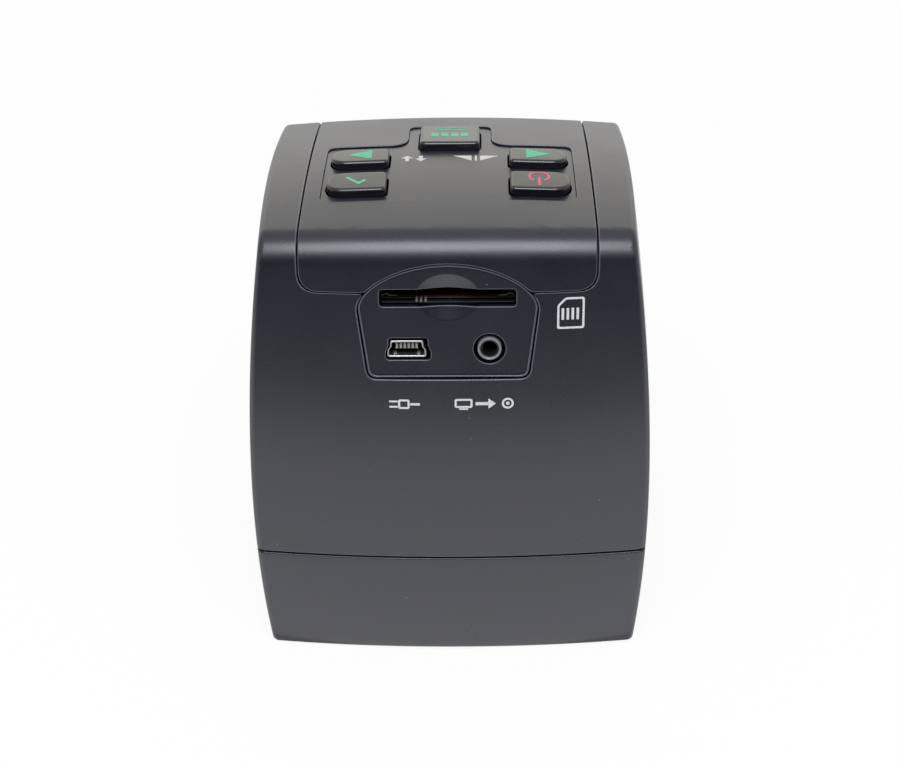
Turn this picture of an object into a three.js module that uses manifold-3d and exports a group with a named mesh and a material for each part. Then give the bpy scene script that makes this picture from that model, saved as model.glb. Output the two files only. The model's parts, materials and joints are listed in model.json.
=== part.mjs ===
// A tabletop scanner for 35 mm film strips and slides, in millimetres, +Z up.
// The origin is on the table under the middle of the body. +Y is the back, which has the sockets.
// The body is a pillow: every face is a shallow arc in plan and in profile, and the pieces of its
// skin (shell, top panel, front panel, base) are all cut from the same pillow with named gaps.

import * as THREE from 'three';
import { mergeVertices } from 'three/addons/utils/BufferGeometryUtils.js';
import Module from 'manifold-3d';

const wasm = await Module();
wasm.setup();

// Clearances and overruns
const seatGap = 0.3;
const panelGap = 0.45;
const overrun = 6;
const roundSides = 16;
const curveSteps = 4;

// Body: the pillow's heights are measured from the underside of the base
const bodyTop = 99.5;
const footReveal = 0.6;
const sideWidest = 87.2;
const sideWidestHeight = 20;
const sideUpperRadius = 520;
const sideLowerRadius = 300;
const cornerWidest = 81.6;
const cornerWidestHeight = 37;
const cornerUpperRadius = 428;
const cornerLowerRadius = 400;
const backWidest = 43.1;
const backWidestHeight = 32.3;
const backUpperRadius = 287;
const backLowerRadius = 322;
const backBow = 2.4;
const frontWidest = 43.1;
const frontWidestHeight = 22;
const frontUpperRadius = 253;
const frontLowerRadius = 308;
const frontBow = 1.8;
const bowSpan = 80;
const crestSetback = 16.6;
const crestRadius = 199;
const crown = 1.34;
const crownSpan = 76;
const cornerRound = 1;
const backEdgeRound = 4.8;
const edgeRound = 1.5;
const innerRound = 0.6;
const edgeBlend = 12;
const wall = 2;

// Grid of the pillow
const sideSteps = 6;
const wallSteps = 6;
const roundSteps = 3;
const crownRingShares = [0.8, 0.55, 0.28];

// Seam between the base and the upper body
const seamHeight = 26.3;

// Top panel and the sunk field round the keys
const topPanelWidth = 58.7;
const topPanelEdgeDrop = 11.5;
const topPanelThickness = 2.2;
const topPanelCornerRound = 4;
const fieldWidth = 52;
const fieldNeckWidth = 17.9;
const fieldDepth = 0.45;
const fieldRound = 2;
const fieldBack = 19.5;
const fieldWingFront = -9;
const fieldNeckFront = -23;
const fieldNeckFlare = 4.2;

// Keys
const keyRise = 1.3;
const keyEdge = 0.6;
const keyClearance = 0.3;
const keyLip = 1;
const keyLipThickness = 0.9;
const keyTravel = 0.5;
const keyStemRadius = 1.4;
const scanKeyWidth = 12.9;
const scanKeyDepth = 12.8;
const scanKeyPlace = -12.8;
const scanKeyRound = 1.4;
const sideKeyInner = 12.6;
const sideKeyRound = 1.2;
const sideKeyNoseShare = 0.96;
const arrowKeyOuter = 24.7;
const arrowKeyDepth = 7.7;
const arrowKeyPlace = -0.15;
const lowerKeyOuter = 24.9;
const lowerKeyDepth = 8.4;
const lowerKeyPlace = 12.8;

// Key board and its switches
const boardThickness = 1.2;
const switchSize = 6;
const switchHeight = 3.4;
const plungerRadius = 1.7;
const plungerHeight = 0.9;
const pressGap = 0.3;
const keyBoardWidth = 56;
const keyBoardDepth = 52;
const panelPostRadius = 2;
const panelPostSpacingX = 48;
const panelPostSpacingY = 36;
const panelPostPlace = 6;

// Port panel, in a frame that leans with the back wall
const portDrop = 19.5;
const portLean = THREE.MathUtils.degToRad(9.4);
const portShoulderWidth = 35.8;
const portShoulderRise = 5.6;
const portDomeRise = 9;
const portDomeSideShare = 0.45;
const portDomeTopShare = 0.55;
const portFootWidth = 32;
const portFootDrop = 10;
const portFootRound = 1.6;
const portRecess = 1.2;
const portFaceThickness = 2.2;
const portFlange = 1.6;
const portFlangeThickness = 1.2;
const cardSlotWidth = 27.1;
const cardSlotHeight = 3.4;
const cardSlotRise = 7.4;
const cardSlotRound = 0.5;
const scoopWidth = 12.9;
const scoopHeight = 9.6;
const scoopDepth = 1.5;
const socketDrop = 3.5;
const usbPlace = 8.2;
const usbHoleWidth = 9.1;
const usbHoleHeight = 5.1;
const usbHoleRound = 1;
const jackPlace = -8.25;
const jackHoleRadius = 3.3;

// Sockets on the main board
const usbShellTop = 6.6;
const usbShellWidth = 7.7;
const usbShellHeight = 3.9;
const usbShellWaistShare = 0.45;
const usbShellWall = 0.35;
const usbShellRound = 0.4;
const usbShellLength = 9.2;
const usbSetback = 1.5;
const usbTongueWidth = 4.2;
const usbTongueHeight = 1;
const usbTongueRise = 0.5;
const usbTongueSetback = 1.6;
const usbBackLength = 2.4;
const jackBarrelRadius = 2.5;
const jackBoreRadius = 1.8;
const jackSetback = 1.8;
const jackBarrelLength = 3.6;
const jackBodyWidth = 6.4;
const jackBodyHeight = 4.4;
const jackBodyLength = 11;
const jackBoreDepth = 13;

// Card socket under the key board
const cardSocketWidth = 28;
const cardSocketHeight = 2.9;
const cardSocketLength = 26;
const cardSocketWall = 0.35;
const cardMouthWidth = 24.6;

// Main board
const mainBoardWidth = 62;
const mainBoardDepth = 50;
const boardSetback = 1.2;

// Front panel, window and display
const frontPanelWidth = 71;
const windowWidth = 58;
const windowHeight = 45;
const windowBorder = 3.5;
const windowRound = 2;
const windowThickness = 1.4;
const displayWidth = 55;
const displayHeight = 42;
const displayThickness = 3;

// Film path through the body, from side to side
const filmPathHeight = 6.8;
const filmPathFront = -36;
const filmPathBack = 23;
const opticalAxis = -6.5;

// Deck window, film mask and film guide
const deckThickness = 2;
const deckWindowWidth = 40;
const deckWindowDepth = 29;
const maskThickness = 1.5;
const maskBorderX = 2;
const maskBorderY = 2.3;
const guideThickness = 1.6;
const guideRail = 1.6;
const guideWindowWidth = 38;
const guideWindowDepth = 28;

// Camera frame and lens
const sensorHeadroom = 5;
const framePlateThickness = 2;
const framePlateWidth = 50;
const framePlateDepth = 40;
const frameLeg = 4;
const lensTubeRadius = 7;
const lensTubeWall = 1.4;
const lensTubeLength = 8;
const lensBaseSize = 22;
const lensBaseHeight = 3;
const lensBarrelBore = 2.2;
const lensBarrelLength = 12;
const sensorBoardSize = 28;
const sensorChipSize = 10;
const sensorChipThickness = 1;
const sensorPocketSize = 12;
const sensorPocketDepth = 1.6;

// Bottom cover, light, feet and screws
const coverThickness = 2;
const coverRise = 0.5;
const lightBoxWidth = 47;
const lightBoxDepth = 35;
const lightBoxWall = 1.5;
const diffuserThickness = 2;
const lampCount = 3;
const lampSpacing = 13;
const lampSize = 3;
const lampHeight = 0.8;
const footRadius = 5;
const footInset = 11.2;
const screwSpacingX = 62;
const screwSpacingY = 30;
const screwHeadRadius = 2.6;
const screwHeadHeight = 1;
const screwShankRadius = 1.2;
const screwShankLength = 13;
const screwSlotLength = 3.8;
const screwSlotWidth = 0.7;
const screwSlotDepth = 0.5;
const bossRadius = 3.4;

// Finishes
const satinBlack = new THREE.MeshStandardMaterial({ color: 0x3b3b3e, roughness: 0.42, metalness: 0 });
const glossBlack = new THREE.MeshStandardMaterial({ color: 0x2a2a2d, roughness: 0.2, metalness: 0 });
const windowBlack = new THREE.MeshStandardMaterial({ color: 0x08080a, roughness: 0.05, metalness: 0 });
const plainBlack = new THREE.MeshStandardMaterial({ color: 0x141415, roughness: 0.6, metalness: 0 });
const brightTin = new THREE.MeshStandardMaterial({ color: 0xb9bbbd, roughness: 0.3, metalness: 1 });
const boardGreen = new THREE.MeshStandardMaterial({ color: 0x1f5a35, roughness: 0.5, metalness: 0 });
const displayGrey = new THREE.MeshStandardMaterial({ color: 0x53565a, roughness: 0.35, metalness: 0 });
const milkWhite = new THREE.MeshStandardMaterial({ color: 0xe8e8e4, roughness: 0.5, metalness: 0 });
const footRubber = new THREE.MeshStandardMaterial({ color: 0x1c1c1c, roughness: 0.9, metalness: 0 });

// Heights above the underside of the base that hang from the body's top
const topPanelEdgeHeight = bodyTop - topPanelEdgeDrop;
const portHeight = bodyTop - portDrop;
const windowPlace = topPanelEdgeHeight - windowBorder - windowHeight / 2;

// Places in the frame of the port panel, with zero on the wall's surface
const portBack = portRecess + portFaceThickness + portFlangeThickness;
const boardStart = portBack + boardSetback;
const keyBoardUnder = cardSlotRise + cardSocketHeight / 2 + seatGap;
const keyBoardTop = keyBoardUnder + boardThickness;
const mainBoardTop = -socketDrop - jackBodyHeight / 2 - seatGap;
const mainBoardUnder = mainBoardTop - boardThickness;

// Levels above the table that several pieces share
const seamLevel = footReveal + seamHeight;
const deckTop = seamLevel - panelGap / 2;
const deckUnder = deckTop - deckThickness;
const shellBottom = seamLevel + panelGap / 2;
const filmPathTop = deckTop + filmPathHeight;
const guideTop = filmPathTop + seatGap + guideThickness;
const coverUnder = footReveal + coverRise;
const coverTop = coverUnder + coverThickness;
const lightBoardTop = coverTop + seatGap + boardThickness;
const mainBoardLowest = footReveal + portHeight + mainBoardUnder * Math.cos(portLean)
  - (boardStart + mainBoardDepth) * Math.sin(portLean);
const lensBaseTop = mainBoardLowest - sensorHeadroom - boardThickness - seatGap;
const plateTop = lensBaseTop - lensBaseHeight - seatGap;
const plateUnder = plateTop - framePlateThickness;

// Arcs that give the pillow its profile and plan

function arcDrop(rise, upperRadius, lowerRadius) {
  const radius = rise > 0 ? upperRadius : lowerRadius;
  return rise * rise / (2 * radius);
}

function cornerHalfWidth(height) {
  return cornerWidest / 2 - arcDrop(height - cornerWidestHeight, cornerUpperRadius, cornerLowerRadius);
}

function sideHalfWidth(height) {
  const bulged = sideWidest / 2 - arcDrop(height - sideWidestHeight, sideUpperRadius, sideLowerRadius);
  return Math.max(bulged, cornerHalfWidth(height));
}

function backAt(x, height) {
  const share = 2 * x / bowSpan;
  const drop = arcDrop(height - backWidestHeight, backUpperRadius, backLowerRadius);
  return backWidest - drop - backBow * share * share;
}

function frontAt(x, height) {
  const share = 2 * x / bowSpan;
  const drop = arcDrop(height - frontWidestHeight, frontUpperRadius, frontLowerRadius);
  return drop - frontWidest + frontBow * share * share;
}

function crestAt(x, y) {
  const run = y - crestSetback;
  const share = 2 * x / crownSpan;
  return bodyTop - run * run / (2 * crestRadius) - crown * share * share;
}

// The top's fall towards the front and its tilt towards the nearer side
function topFall(y) {
  return Math.atan((crestSetback - y) / crestRadius);
}

function topTilt(x) {
  const share = 2 * x / crownSpan;
  return Math.atan(4 * crown * share / crownSpan);
}

// One closed outline of the pillow at a height, drawn in by an inset, anticlockwise from above
function outlineAt(height, inset) {
  const halfX = cornerHalfWidth(height) - inset;
  const bulge = sideHalfWidth(height) - cornerHalfWidth(height);
  const backY = backAt(halfX, height) - inset;
  const frontY = frontAt(halfX, height) + inset;
  const middleY = (backY + frontY) / 2;
  const halfY = (backY - frontY) / 2;
  const sides = [[], [], [], []];
  for (let step = 0; step <= sideSteps; step += 1) {
    const share = 2 * step / sideSteps - 1;
    const along = share * (1 - cornerRound / halfY);
    const across = share * (halfX - cornerRound);
    const sideX = halfX + bulge * (1 - along * along);
    sides[0].push(new THREE.Vector2(sideX, middleY + along * halfY));
    sides[1].push(new THREE.Vector2(-across, backAt(across, height) - inset));
    sides[2].push(new THREE.Vector2(-sideX, middleY - along * halfY));
    sides[3].push(new THREE.Vector2(across, frontAt(across, height) + inset));
  }
  const corners = [
    new THREE.Vector2(halfX, backY),
    new THREE.Vector2(-halfX, backY),
    new THREE.Vector2(-halfX, frontY),
    new THREE.Vector2(halfX, frontY)
  ];
  return sides.flatMap((side, index) => {
    const next = sides[(index + 1) % sides.length];
    const chordMiddle = side.at(-1).clone().add(next[0]).divideScalar(2);
    return [...side, corners[index].clone().lerp(chordMiddle, 2 - Math.SQRT2)];
  });
}

// The top edge is well rounded along the back and only eased along the sides and the front
function topRoundAt(point) {
  const share = THREE.MathUtils.smoothstep(point.y, backWidest - 2 * edgeBlend, backWidest - edgeBlend);
  return THREE.MathUtils.lerp(edgeRound, backEdgeRound, share);
}

// A closed skin over rings of points, each ring above the one before, with a point at each end
function loft(rings, low, high) {
  const count = rings[0].length;
  const lowIndex = rings.length * count;
  const highIndex = lowIndex + 1;
  const faces = [];
  for (let ring = 0; ring < rings.length; ring += 1) {
    for (let index = 0; index < count; index += 1) {
      const here = ring * count + index;
      const beside = ring * count + (index + 1) % count;
      if (ring === 0) faces.push(lowIndex, beside, here);
      if (ring === rings.length - 1) faces.push(highIndex, here, beside);
      else faces.push(here, beside, beside + count, here, beside + count, here + count);
    }
  }
  const geometry = new THREE.BufferGeometry().setFromPoints([...rings.flat(), low, high]);
  geometry.setIndex(faces);
  return geometry;
}

// The pillow drawn in by an inset, from a lowest height up to its crown
function pillow(inset, lowest) {
  const guide = outlineAt(bodyTop, inset);
  const rounds = guide.map((point) => Math.max(topRoundAt(point) - inset, innerRound));
  const crests = guide.map((point) => crestAt(point.x, point.y) - inset);
  const ringOf = (heightOf, insetOf) => guide.map((point, index) => {
    const height = heightOf(index);
    const place = outlineAt(height, insetOf(index))[index];
    return new THREE.Vector3(place.x, place.y, footReveal + height);
  });
  const rings = [];
  for (const angle of [0, Math.PI / 4]) {
    const height = lowest + edgeRound * (1 - Math.cos(angle));
    const draw = edgeRound * (1 - Math.sin(angle));
    rings.push(ringOf(() => height, () => inset + draw));
  }
  for (let step = 0; step <= wallSteps; step += 1) {
    const heightOf = (index) => THREE.MathUtils.lerp(
      lowest + edgeRound, crests[index] - rounds[index], step / wallSteps);
    rings.push(ringOf(heightOf, () => inset));
  }
  for (let step = 1; step <= roundSteps; step += 1) {
    const angle = step / roundSteps * Math.PI / 2;
    const heightOf = (index) => crests[index] - rounds[index] * (1 - Math.sin(angle));
    const insetOf = (index) => inset + rounds[index] * (1 - Math.cos(angle));
    rings.push(ringOf(heightOf, insetOf));
  }
  const rim = rings.at(-1);
  const crownPoint = (x, y) => new THREE.Vector3(x, y, footReveal + crestAt(x, y) - inset);
  for (const share of crownRingShares) {
    rings.push(rim.map((point) => crownPoint(point.x * share, point.y * share)));
  }
  return solid(loft(rings, new THREE.Vector3(0, 0, footReveal + lowest), crownPoint(0, 0)));
}

// Solids, joined and cut

function solid(geometry) {
  const plain = geometry.clone();
  plain.deleteAttribute('normal');
  plain.deleteAttribute('uv');
  const merged = mergeVertices(plain);
  const vertProperties = merged.attributes.position.array;
  const triVerts = new Uint32Array(merged.index.array);
  return new wasm.Manifold(new wasm.Mesh({ numProp: 3, vertProperties, triVerts }));
}

function geometryOf(shape) {
  const mesh = shape.getMesh();
  const geometry = new THREE.BufferGeometry();
  geometry.setAttribute('position', new THREE.BufferAttribute(new Float32Array(mesh.vertProperties), 3));
  geometry.setIndex(new THREE.BufferAttribute(new Uint32Array(mesh.triVerts), 1));
  geometry.computeVertexNormals();
  return geometry;
}

function union(shapes) {
  return shapes.reduce((sum, shape) => sum.add(shape));
}

function placed(shape, group) {
  group.updateMatrixWorld(true);
  return solid(geometryOf(shape).applyMatrix4(group.matrixWorld));
}

// A block given by its width, depth and height, with the middle of its underside at a place
function block(width, depth, height, x, y, z) {
  return solid(new THREE.BoxGeometry(width, depth, height).translate(x, y, z + height / 2));
}

// An upright rod or tube, from a low level up
function rod(radius, height, x, y, z) {
  const geometry = new THREE.CylinderGeometry(radius, radius, height, roundSides);
  return solid(geometry.rotateX(Math.PI / 2).translate(x, y, z + height / 2));
}

// A rod that points at the back, from a front place to a back place
function backRod(radius, frontY, backY, x, z) {
  const geometry = new THREE.CylinderGeometry(radius, radius, backY - frontY, roundSides);
  return solid(geometry.translate(x, (frontY + backY) / 2, z));
}

// An outline seen from above, pulled up from a low level to a high one
function uprightPrism(shape, low, high) {
  const settings = { depth: high - low, bevelEnabled: false, curveSegments: curveSteps };
  return solid(new THREE.ExtrudeGeometry(shape, settings).translate(0, 0, low));
}

// An outline seen from the front, with its second coordinate upright, pulled from front to back
function backPrism(shape, frontY, backY) {
  const settings = { depth: backY - frontY, bevelEnabled: false, curveSegments: curveSteps };
  return solid(new THREE.ExtrudeGeometry(shape, settings).rotateX(Math.PI / 2).translate(0, backY, 0));
}

// A closed shape through corners, each [x, y, radius of its round]
function roundedShape(corners) {
  const shape = new THREE.Shape();
  corners.forEach(([x, y, radius], index) => {
    const corner = new THREE.Vector2(x, y);
    const before = new THREE.Vector2(...corners.at(index - 1));
    const after = new THREE.Vector2(...corners[(index + 1) % corners.length]);
    const start = before.sub(corner).setLength(radius).add(corner);
    const end = after.sub(corner).setLength(radius).add(corner);
    if (index === 0) shape.moveTo(start.x, start.y);
    else shape.lineTo(start.x, start.y);
    shape.quadraticCurveTo(x, y, end.x, end.y);
  });
  return shape;
}

function roundedBlockShape(width, height, x, y, radius) {
  const left = x - width / 2;
  const right = x + width / 2;
  const low = y - height / 2;
  const high = y + height / 2;
  return roundedShape([[left, low, radius], [right, low, radius],
    [right, high, radius], [left, high, radius]]);
}

// The scene graph: pieces go into the part's group, or into one of its turned groups

const group = new THREE.Group();
const portGroup = new THREE.Group();
portGroup.position.set(0, backAt(0, portHeight), footReveal + portHeight);
portGroup.rotation.x = portLean;
group.add(portGroup);

function addPiece(parent, name, shape, material) {
  const mesh = new THREE.Mesh(geometryOf(shape), material);
  mesh.name = name;
  parent.add(mesh);
  return mesh;
}

// The whole pillow and the same drawn in by the wall, shared by the pieces of the skin
const outerBody = pillow(0, 0);
const innerBody = pillow(wall, -overrun);
const bodySpan = 2 * (sideWidest + overrun);

function above(level) {
  return block(bodySpan, bodySpan, bodyTop + overrun, 0, 0, level);
}

function below(level) {
  return block(bodySpan, bodySpan, level + overrun, 0, 0, -overrun);
}

// Outlines that the skin's pieces share, each grown or shrunk by a gap

function topPanelTool(grow) {
  const low = footReveal + topPanelEdgeHeight - grow;
  const high = footReveal + bodyTop + overrun;
  const halfWidth = topPanelWidth / 2 + grow;
  const round = topPanelCornerRound;
  const shape = roundedShape([[-halfWidth, low, round], [halfWidth, low, round],
    [halfWidth, high, round], [-halfWidth, high, round]]);
  return backPrism(shape, -bodySpan, bodySpan);
}

function frontPanelTool(grow) {
  const low = shellBottom - grow;
  const high = footReveal + topPanelEdgeHeight - panelGap + grow;
  const width = frontPanelWidth + 2 * grow;
  return backPrism(roundedBlockShape(width, high - low, 0, (high + low) / 2, windowRound), -bodySpan, 0);
}

function windowTool(grow) {
  const place = footReveal + windowPlace;
  const shape = roundedBlockShape(windowWidth + 2 * grow, windowHeight + 2 * grow, 0, place, windowRound);
  return backPrism(shape, -bodySpan, 0);
}

function portShape(grow) {
  const shoulder = portShoulderWidth / 2 + grow;
  const foot = portFootWidth / 2 + grow;
  const low = -portFootDrop - grow;
  const high = portShoulderRise + portDomeRise + grow;
  const swell = portShoulderRise + portDomeRise * portDomeSideShare;
  const flat = shoulder * portDomeTopShare;
  const rise = new THREE.Vector2(shoulder - foot, portShoulderRise - low).setLength(portFootRound);
  const shape = new THREE.Shape();
  shape.moveTo(portFootRound - foot, low);
  shape.lineTo(foot - portFootRound, low);
  shape.quadraticCurveTo(foot, low, foot + rise.x, low + rise.y);
  shape.lineTo(shoulder, portShoulderRise);
  shape.bezierCurveTo(shoulder, swell, flat, high, 0, high);
  shape.bezierCurveTo(-flat, high, -shoulder, swell, -shoulder, portShoulderRise);
  shape.lineTo(-foot - rise.x, low + rise.y);
  shape.quadraticCurveTo(-foot, low, portFootRound - foot, low);
  return shape;
}

function portTool(grow) {
  return placed(backPrism(portShape(grow), -portBack - overrun, overrun), portGroup);
}

// Film path: an open tunnel through both side walls
function filmPathTool() {
  const depth = filmPathBack - filmPathFront;
  const middle = (filmPathBack + filmPathFront) / 2;
  return block(bodySpan, depth, filmPathTop + overrun, 0, middle, -overrun);
}

// Main shell: back wall, side walls and the strips beside the top panel
function mainShell() {
  return outerBody.subtract(innerBody)
    .intersect(above(shellBottom))
    .subtract(topPanelTool(panelGap))
    .subtract(frontPanelTool(panelGap))
    .subtract(portTool(seatGap))
    .subtract(filmPathTool());
}

// Sunk field: a wide part with two rows of keys and a neck that holds the front key
function fieldShape() {
  const half = fieldWidth / 2;
  const neck = fieldNeckWidth / 2;
  return roundedShape([
    [-neck, fieldNeckFront, fieldRound], [neck, fieldNeckFront, fieldRound],
    [neck, fieldWingFront, fieldNeckFlare], [half, fieldWingFront, fieldRound],
    [half, fieldBack, fieldRound], [-half, fieldBack, fieldRound],
    [-half, fieldWingFront, fieldRound], [-neck, fieldWingFront, fieldNeckFlare]
  ]);
}

// Keys: each has its outline in the plane of the top, and a group on the top's surface

function scanKeyShape(grow) {
  return roundedBlockShape(scanKeyWidth + 2 * grow, scanKeyDepth + 2 * grow, 0, 0, scanKeyRound);
}

function sideKeyShape(side, outer, depth, grow) {
  const tip = side * ((outer - sideKeyInner) / 2 + grow);
  const half = depth / 2 + grow;
  const nose = half * sideKeyNoseShare;
  return roundedShape([[-tip, -half, sideKeyRound], [tip, -half, nose], [tip, half, nose],
    [-tip, half, sideKeyRound]]);
}

function keyGroup(x, y) {
  const place = new THREE.Group();
  place.position.set(x, y, footReveal + crestAt(x, y));
  place.rotation.set(topFall(y), topTilt(x), 0);
  group.add(place);
  place.updateMatrixWorld(true);
  return place;
}

const arrowKeyMiddle = (arrowKeyOuter + sideKeyInner) / 2;
const lowerKeyMiddle = (lowerKeyOuter + sideKeyInner) / 2;
const arrowShape = (side) => (grow) => sideKeyShape(side, arrowKeyOuter, arrowKeyDepth, grow);
const lowerShape = (side) => (grow) => sideKeyShape(side, lowerKeyOuter, lowerKeyDepth, grow);
const keys = [
  { name: 'scan', shapeOf: scanKeyShape, place: keyGroup(0, scanKeyPlace) },
  { name: 'left', shapeOf: arrowShape(-1), place: keyGroup(-arrowKeyMiddle, arrowKeyPlace) },
  { name: 'right', shapeOf: arrowShape(1), place: keyGroup(arrowKeyMiddle, arrowKeyPlace) },
  { name: 'power', shapeOf: lowerShape(-1), place: keyGroup(-lowerKeyMiddle, lowerKeyPlace) },
  { name: 'confirm', shapeOf: lowerShape(1), place: keyGroup(lowerKeyMiddle, lowerKeyPlace) }
];

// Where a key's axis meets the top of its switch, seen from the port frame
function pressPoint(key) {
  const height = keyBoardTop + seatGap + switchHeight + plungerHeight;
  const plane = new THREE.Plane(new THREE.Vector3(0, 0, 1), -height).applyMatrix4(portGroup.matrixWorld);
  const down = new THREE.Vector3(0, 0, -1).transformDirection(key.place.matrixWorld);
  return new THREE.Ray(key.place.position, down).intersectPlane(plane, new THREE.Vector3());
}

// Key: a cap with an eased edge, a lip under the panel and a stem that ends over the switch
function keyPiece(key) {
  const capLow = -topPanelThickness - seatGap;
  const lipLow = capLow - keyLipThickness;
  const stemLow = keyTravel + pressGap - pressPoint(key).distanceTo(key.place.position);
  const cap = new THREE.ExtrudeGeometry(key.shapeOf(0), {
    depth: keyRise - capLow - 2 * keyEdge,
    bevelThickness: keyEdge,
    bevelSize: keyEdge,
    bevelOffset: -keyEdge,
    bevelSegments: 2,
    curveSegments: curveSteps
  });
  return union([
    solid(cap.translate(0, 0, capLow + keyEdge)),
    uprightPrism(key.shapeOf(keyLip), lipLow, capLow),
    uprightPrism(key.shapeOf(-keyEdge), lipLow, -fieldDepth),
    rod(keyStemRadius, lipLow - stemLow + keyLipThickness / 2, 0, 0, stemLow)
  ]);
}

function keyHole(key) {
  return placed(uprightPrism(key.shapeOf(keyClearance), -overrun, overrun), key.place);
}

// Top panel: the skin inside its outline, with the sunk field, the key holes and posts for a board
function topPanel() {
  const skin = outerBody.subtract(pillow(topPanelThickness, -overrun)).intersect(topPanelTool(0));
  const sunk = uprightPrism(fieldShape(), seamLevel, footReveal + bodyTop + overrun)
    .subtract(pillow(fieldDepth, -overrun));
  const holes = union(keys.map(keyHole));
  const panel = skin.subtract(sunk).subtract(holes).subtract(portTool(seatGap));
  return panel.add(panelPosts());
}

function panelPosts() {
  const posts = [];
  for (const x of [-panelPostSpacingX / 2, panelPostSpacingX / 2]) {
    for (const y of [panelPostPlace - panelPostSpacingY / 2, panelPostPlace + panelPostSpacingY / 2]) {
      const top = footReveal + crestAt(x, y) - topPanelThickness / 2;
      posts.push(rod(panelPostRadius, bodyTop / 2, x, y, top - bodyTop / 2));
    }
  }
  const boardRoom = block(bodySpan, 2 * bodySpan, bodySpan, 0, 0, keyBoardTop + seatGap - bodySpan);
  return union(posts).subtract(placed(boardRoom, portGroup));
}

// Front panel: the leaning face, open for the window
function frontPanel() {
  return outerBody.subtract(innerBody).intersect(frontPanelTool(0)).subtract(windowTool(0));
}

function screenWindow() {
  const sheet = outerBody.subtract(pillow(windowThickness, -overrun));
  return sheet.intersect(windowTool(-seatGap));
}

// Display module: a flat block that leans with the front, as close behind the bowed window as it fits
function displayGroup() {
  const lean = Math.atan((windowPlace - frontWidestHeight) / frontUpperRadius);
  const bow = displayWidth / bowSpan;
  const sag = displayHeight * displayHeight / (8 * frontUpperRadius) + frontBow * bow * bow;
  const turned = new THREE.Group();
  turned.position.set(0, frontAt(0, windowPlace), footReveal + windowPlace);
  turned.rotation.x = -lean;
  group.add(turned);
  const seat = windowThickness + sag + seatGap;
  const module = block(displayWidth, displayThickness, displayHeight,
    0, seat + displayThickness / 2, -displayHeight / 2);
  addPiece(turned, 'display_module', module, displayGrey);
}

// Port panel: a plate set into the back wall, with a wider flange that stays inside the skin
function portPanel() {
  const face = backPrism(portShape(0), -portBack, -portRecess);
  const flange = backPrism(portShape(portFlange), -portBack, portFlangeThickness - portBack);
  const inside = pillow(topPanelThickness + seatGap, -overrun);
  const cardSlot = backPrism(
    roundedBlockShape(cardSlotWidth, cardSlotHeight, 0, cardSlotRise, cardSlotRound), -bodySpan, 0);
  const usbHole = backPrism(
    roundedBlockShape(usbHoleWidth, usbHoleHeight, usbPlace, -socketDrop, usbHoleRound), -bodySpan, 0);
  const jackHole = backRod(jackHoleRadius, -bodySpan, 0, jackPlace, -socketDrop);
  const ball = new THREE.SphereGeometry(1, roundSides, roundSides / 2);
  ball.scale(scoopWidth / 2, scoopDepth, scoopHeight / 2).translate(0, -portRecess, cardSlotRise);
  const cuts = union([cardSlot, usbHole, jackHole, solid(ball)]);
  return placed(face, portGroup).add(placed(flange, portGroup).intersect(inside))
    .subtract(placed(cuts, portGroup));
}

// Card socket: a flat metal case with its mouth behind the slot
function cardSocket() {
  const front = -portBack - seatGap;
  const middle = front - cardSocketLength / 2;
  const low = cardSlotRise - cardSocketHeight / 2;
  const caseBlock = block(cardSocketWidth, cardSocketLength, cardSocketHeight, 0, middle, low);
  const pocket = block(cardMouthWidth, cardSocketLength, cardSocketHeight - 2 * cardSocketWall,
    0, middle + cardSocketWall, low + cardSocketWall);
  return caseBlock.subtract(pocket);
}

// USB socket: a shell wider at its foot, and a tongue held by a plug at its back
function usbShape(grow) {
  const half = usbShellWidth / 2 + grow;
  const topHalf = usbShellTop / 2 + grow;
  const low = -usbShellHeight / 2 - grow;
  const high = usbShellHeight / 2 + grow;
  const waist = THREE.MathUtils.lerp(low, high, usbShellWaistShare);
  const shoulder = waist + half - topHalf;
  const round = usbShellRound;
  const rightSide = [[half, low, round], [half, waist, round],
    [topHalf, shoulder, round], [topHalf, high, round]];
  const leftSide = rightSide.toReversed().map(([x, y, radius]) => [-x, y, radius]);
  return roundedShape([...rightSide, ...leftSide]);
}

function usbShell() {
  const back = -usbSetback - usbShellLength;
  const tube = backPrism(usbShape(0), back, -usbSetback);
  return tube.subtract(backPrism(usbShape(-usbShellWall), back - overrun, overrun));
}

function usbTongue() {
  const back = -usbSetback - usbShellLength;
  const plug = backPrism(usbShape(-usbShellWall - seatGap), back, back + usbBackLength);
  const length = usbShellLength - usbTongueSetback - usbBackLength / 2;
  const tongue = block(usbTongueWidth, length, usbTongueHeight,
    0, -usbSetback - usbTongueSetback - length / 2, usbTongueRise - usbTongueHeight / 2);
  return plug.add(tongue);
}

// Video jack: a round barrel in front of its body, bored along the middle
function videoJack() {
  const barrelBack = -jackSetback - jackBarrelLength;
  const barrel = backRod(jackBarrelRadius, barrelBack, -jackSetback, 0, 0);
  const body = block(jackBodyWidth, jackBodyLength, jackBodyHeight,
    0, barrelBack - jackBodyLength / 2, -jackBodyHeight / 2);
  const bore = backRod(jackBoreRadius, -jackSetback - jackBoreDepth, overrun, 0, 0);
  return barrel.add(body).subtract(bore);
}

// Boards that lean with the port panel
function board(width, depth, low) {
  return block(width, depth, boardThickness, 0, -boardStart - depth / 2, low);
}

// Dome switches under the keys
function switchPiece() {
  const plungerTop = switchHeight + plungerHeight;
  return block(switchSize, switchSize, switchHeight, 0, 0, 0).add(rod(plungerRadius, plungerTop, 0, 0, 0));
}

// Base tray: walls and a deck that carries the film, with bosses for the screws
function screwPlaces() {
  const places = [];
  for (const x of [-screwSpacingX / 2, screwSpacingX / 2]) {
    for (const y of [-screwSpacingY / 2, screwSpacingY / 2]) places.push([x, y]);
  }
  return places;
}

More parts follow.
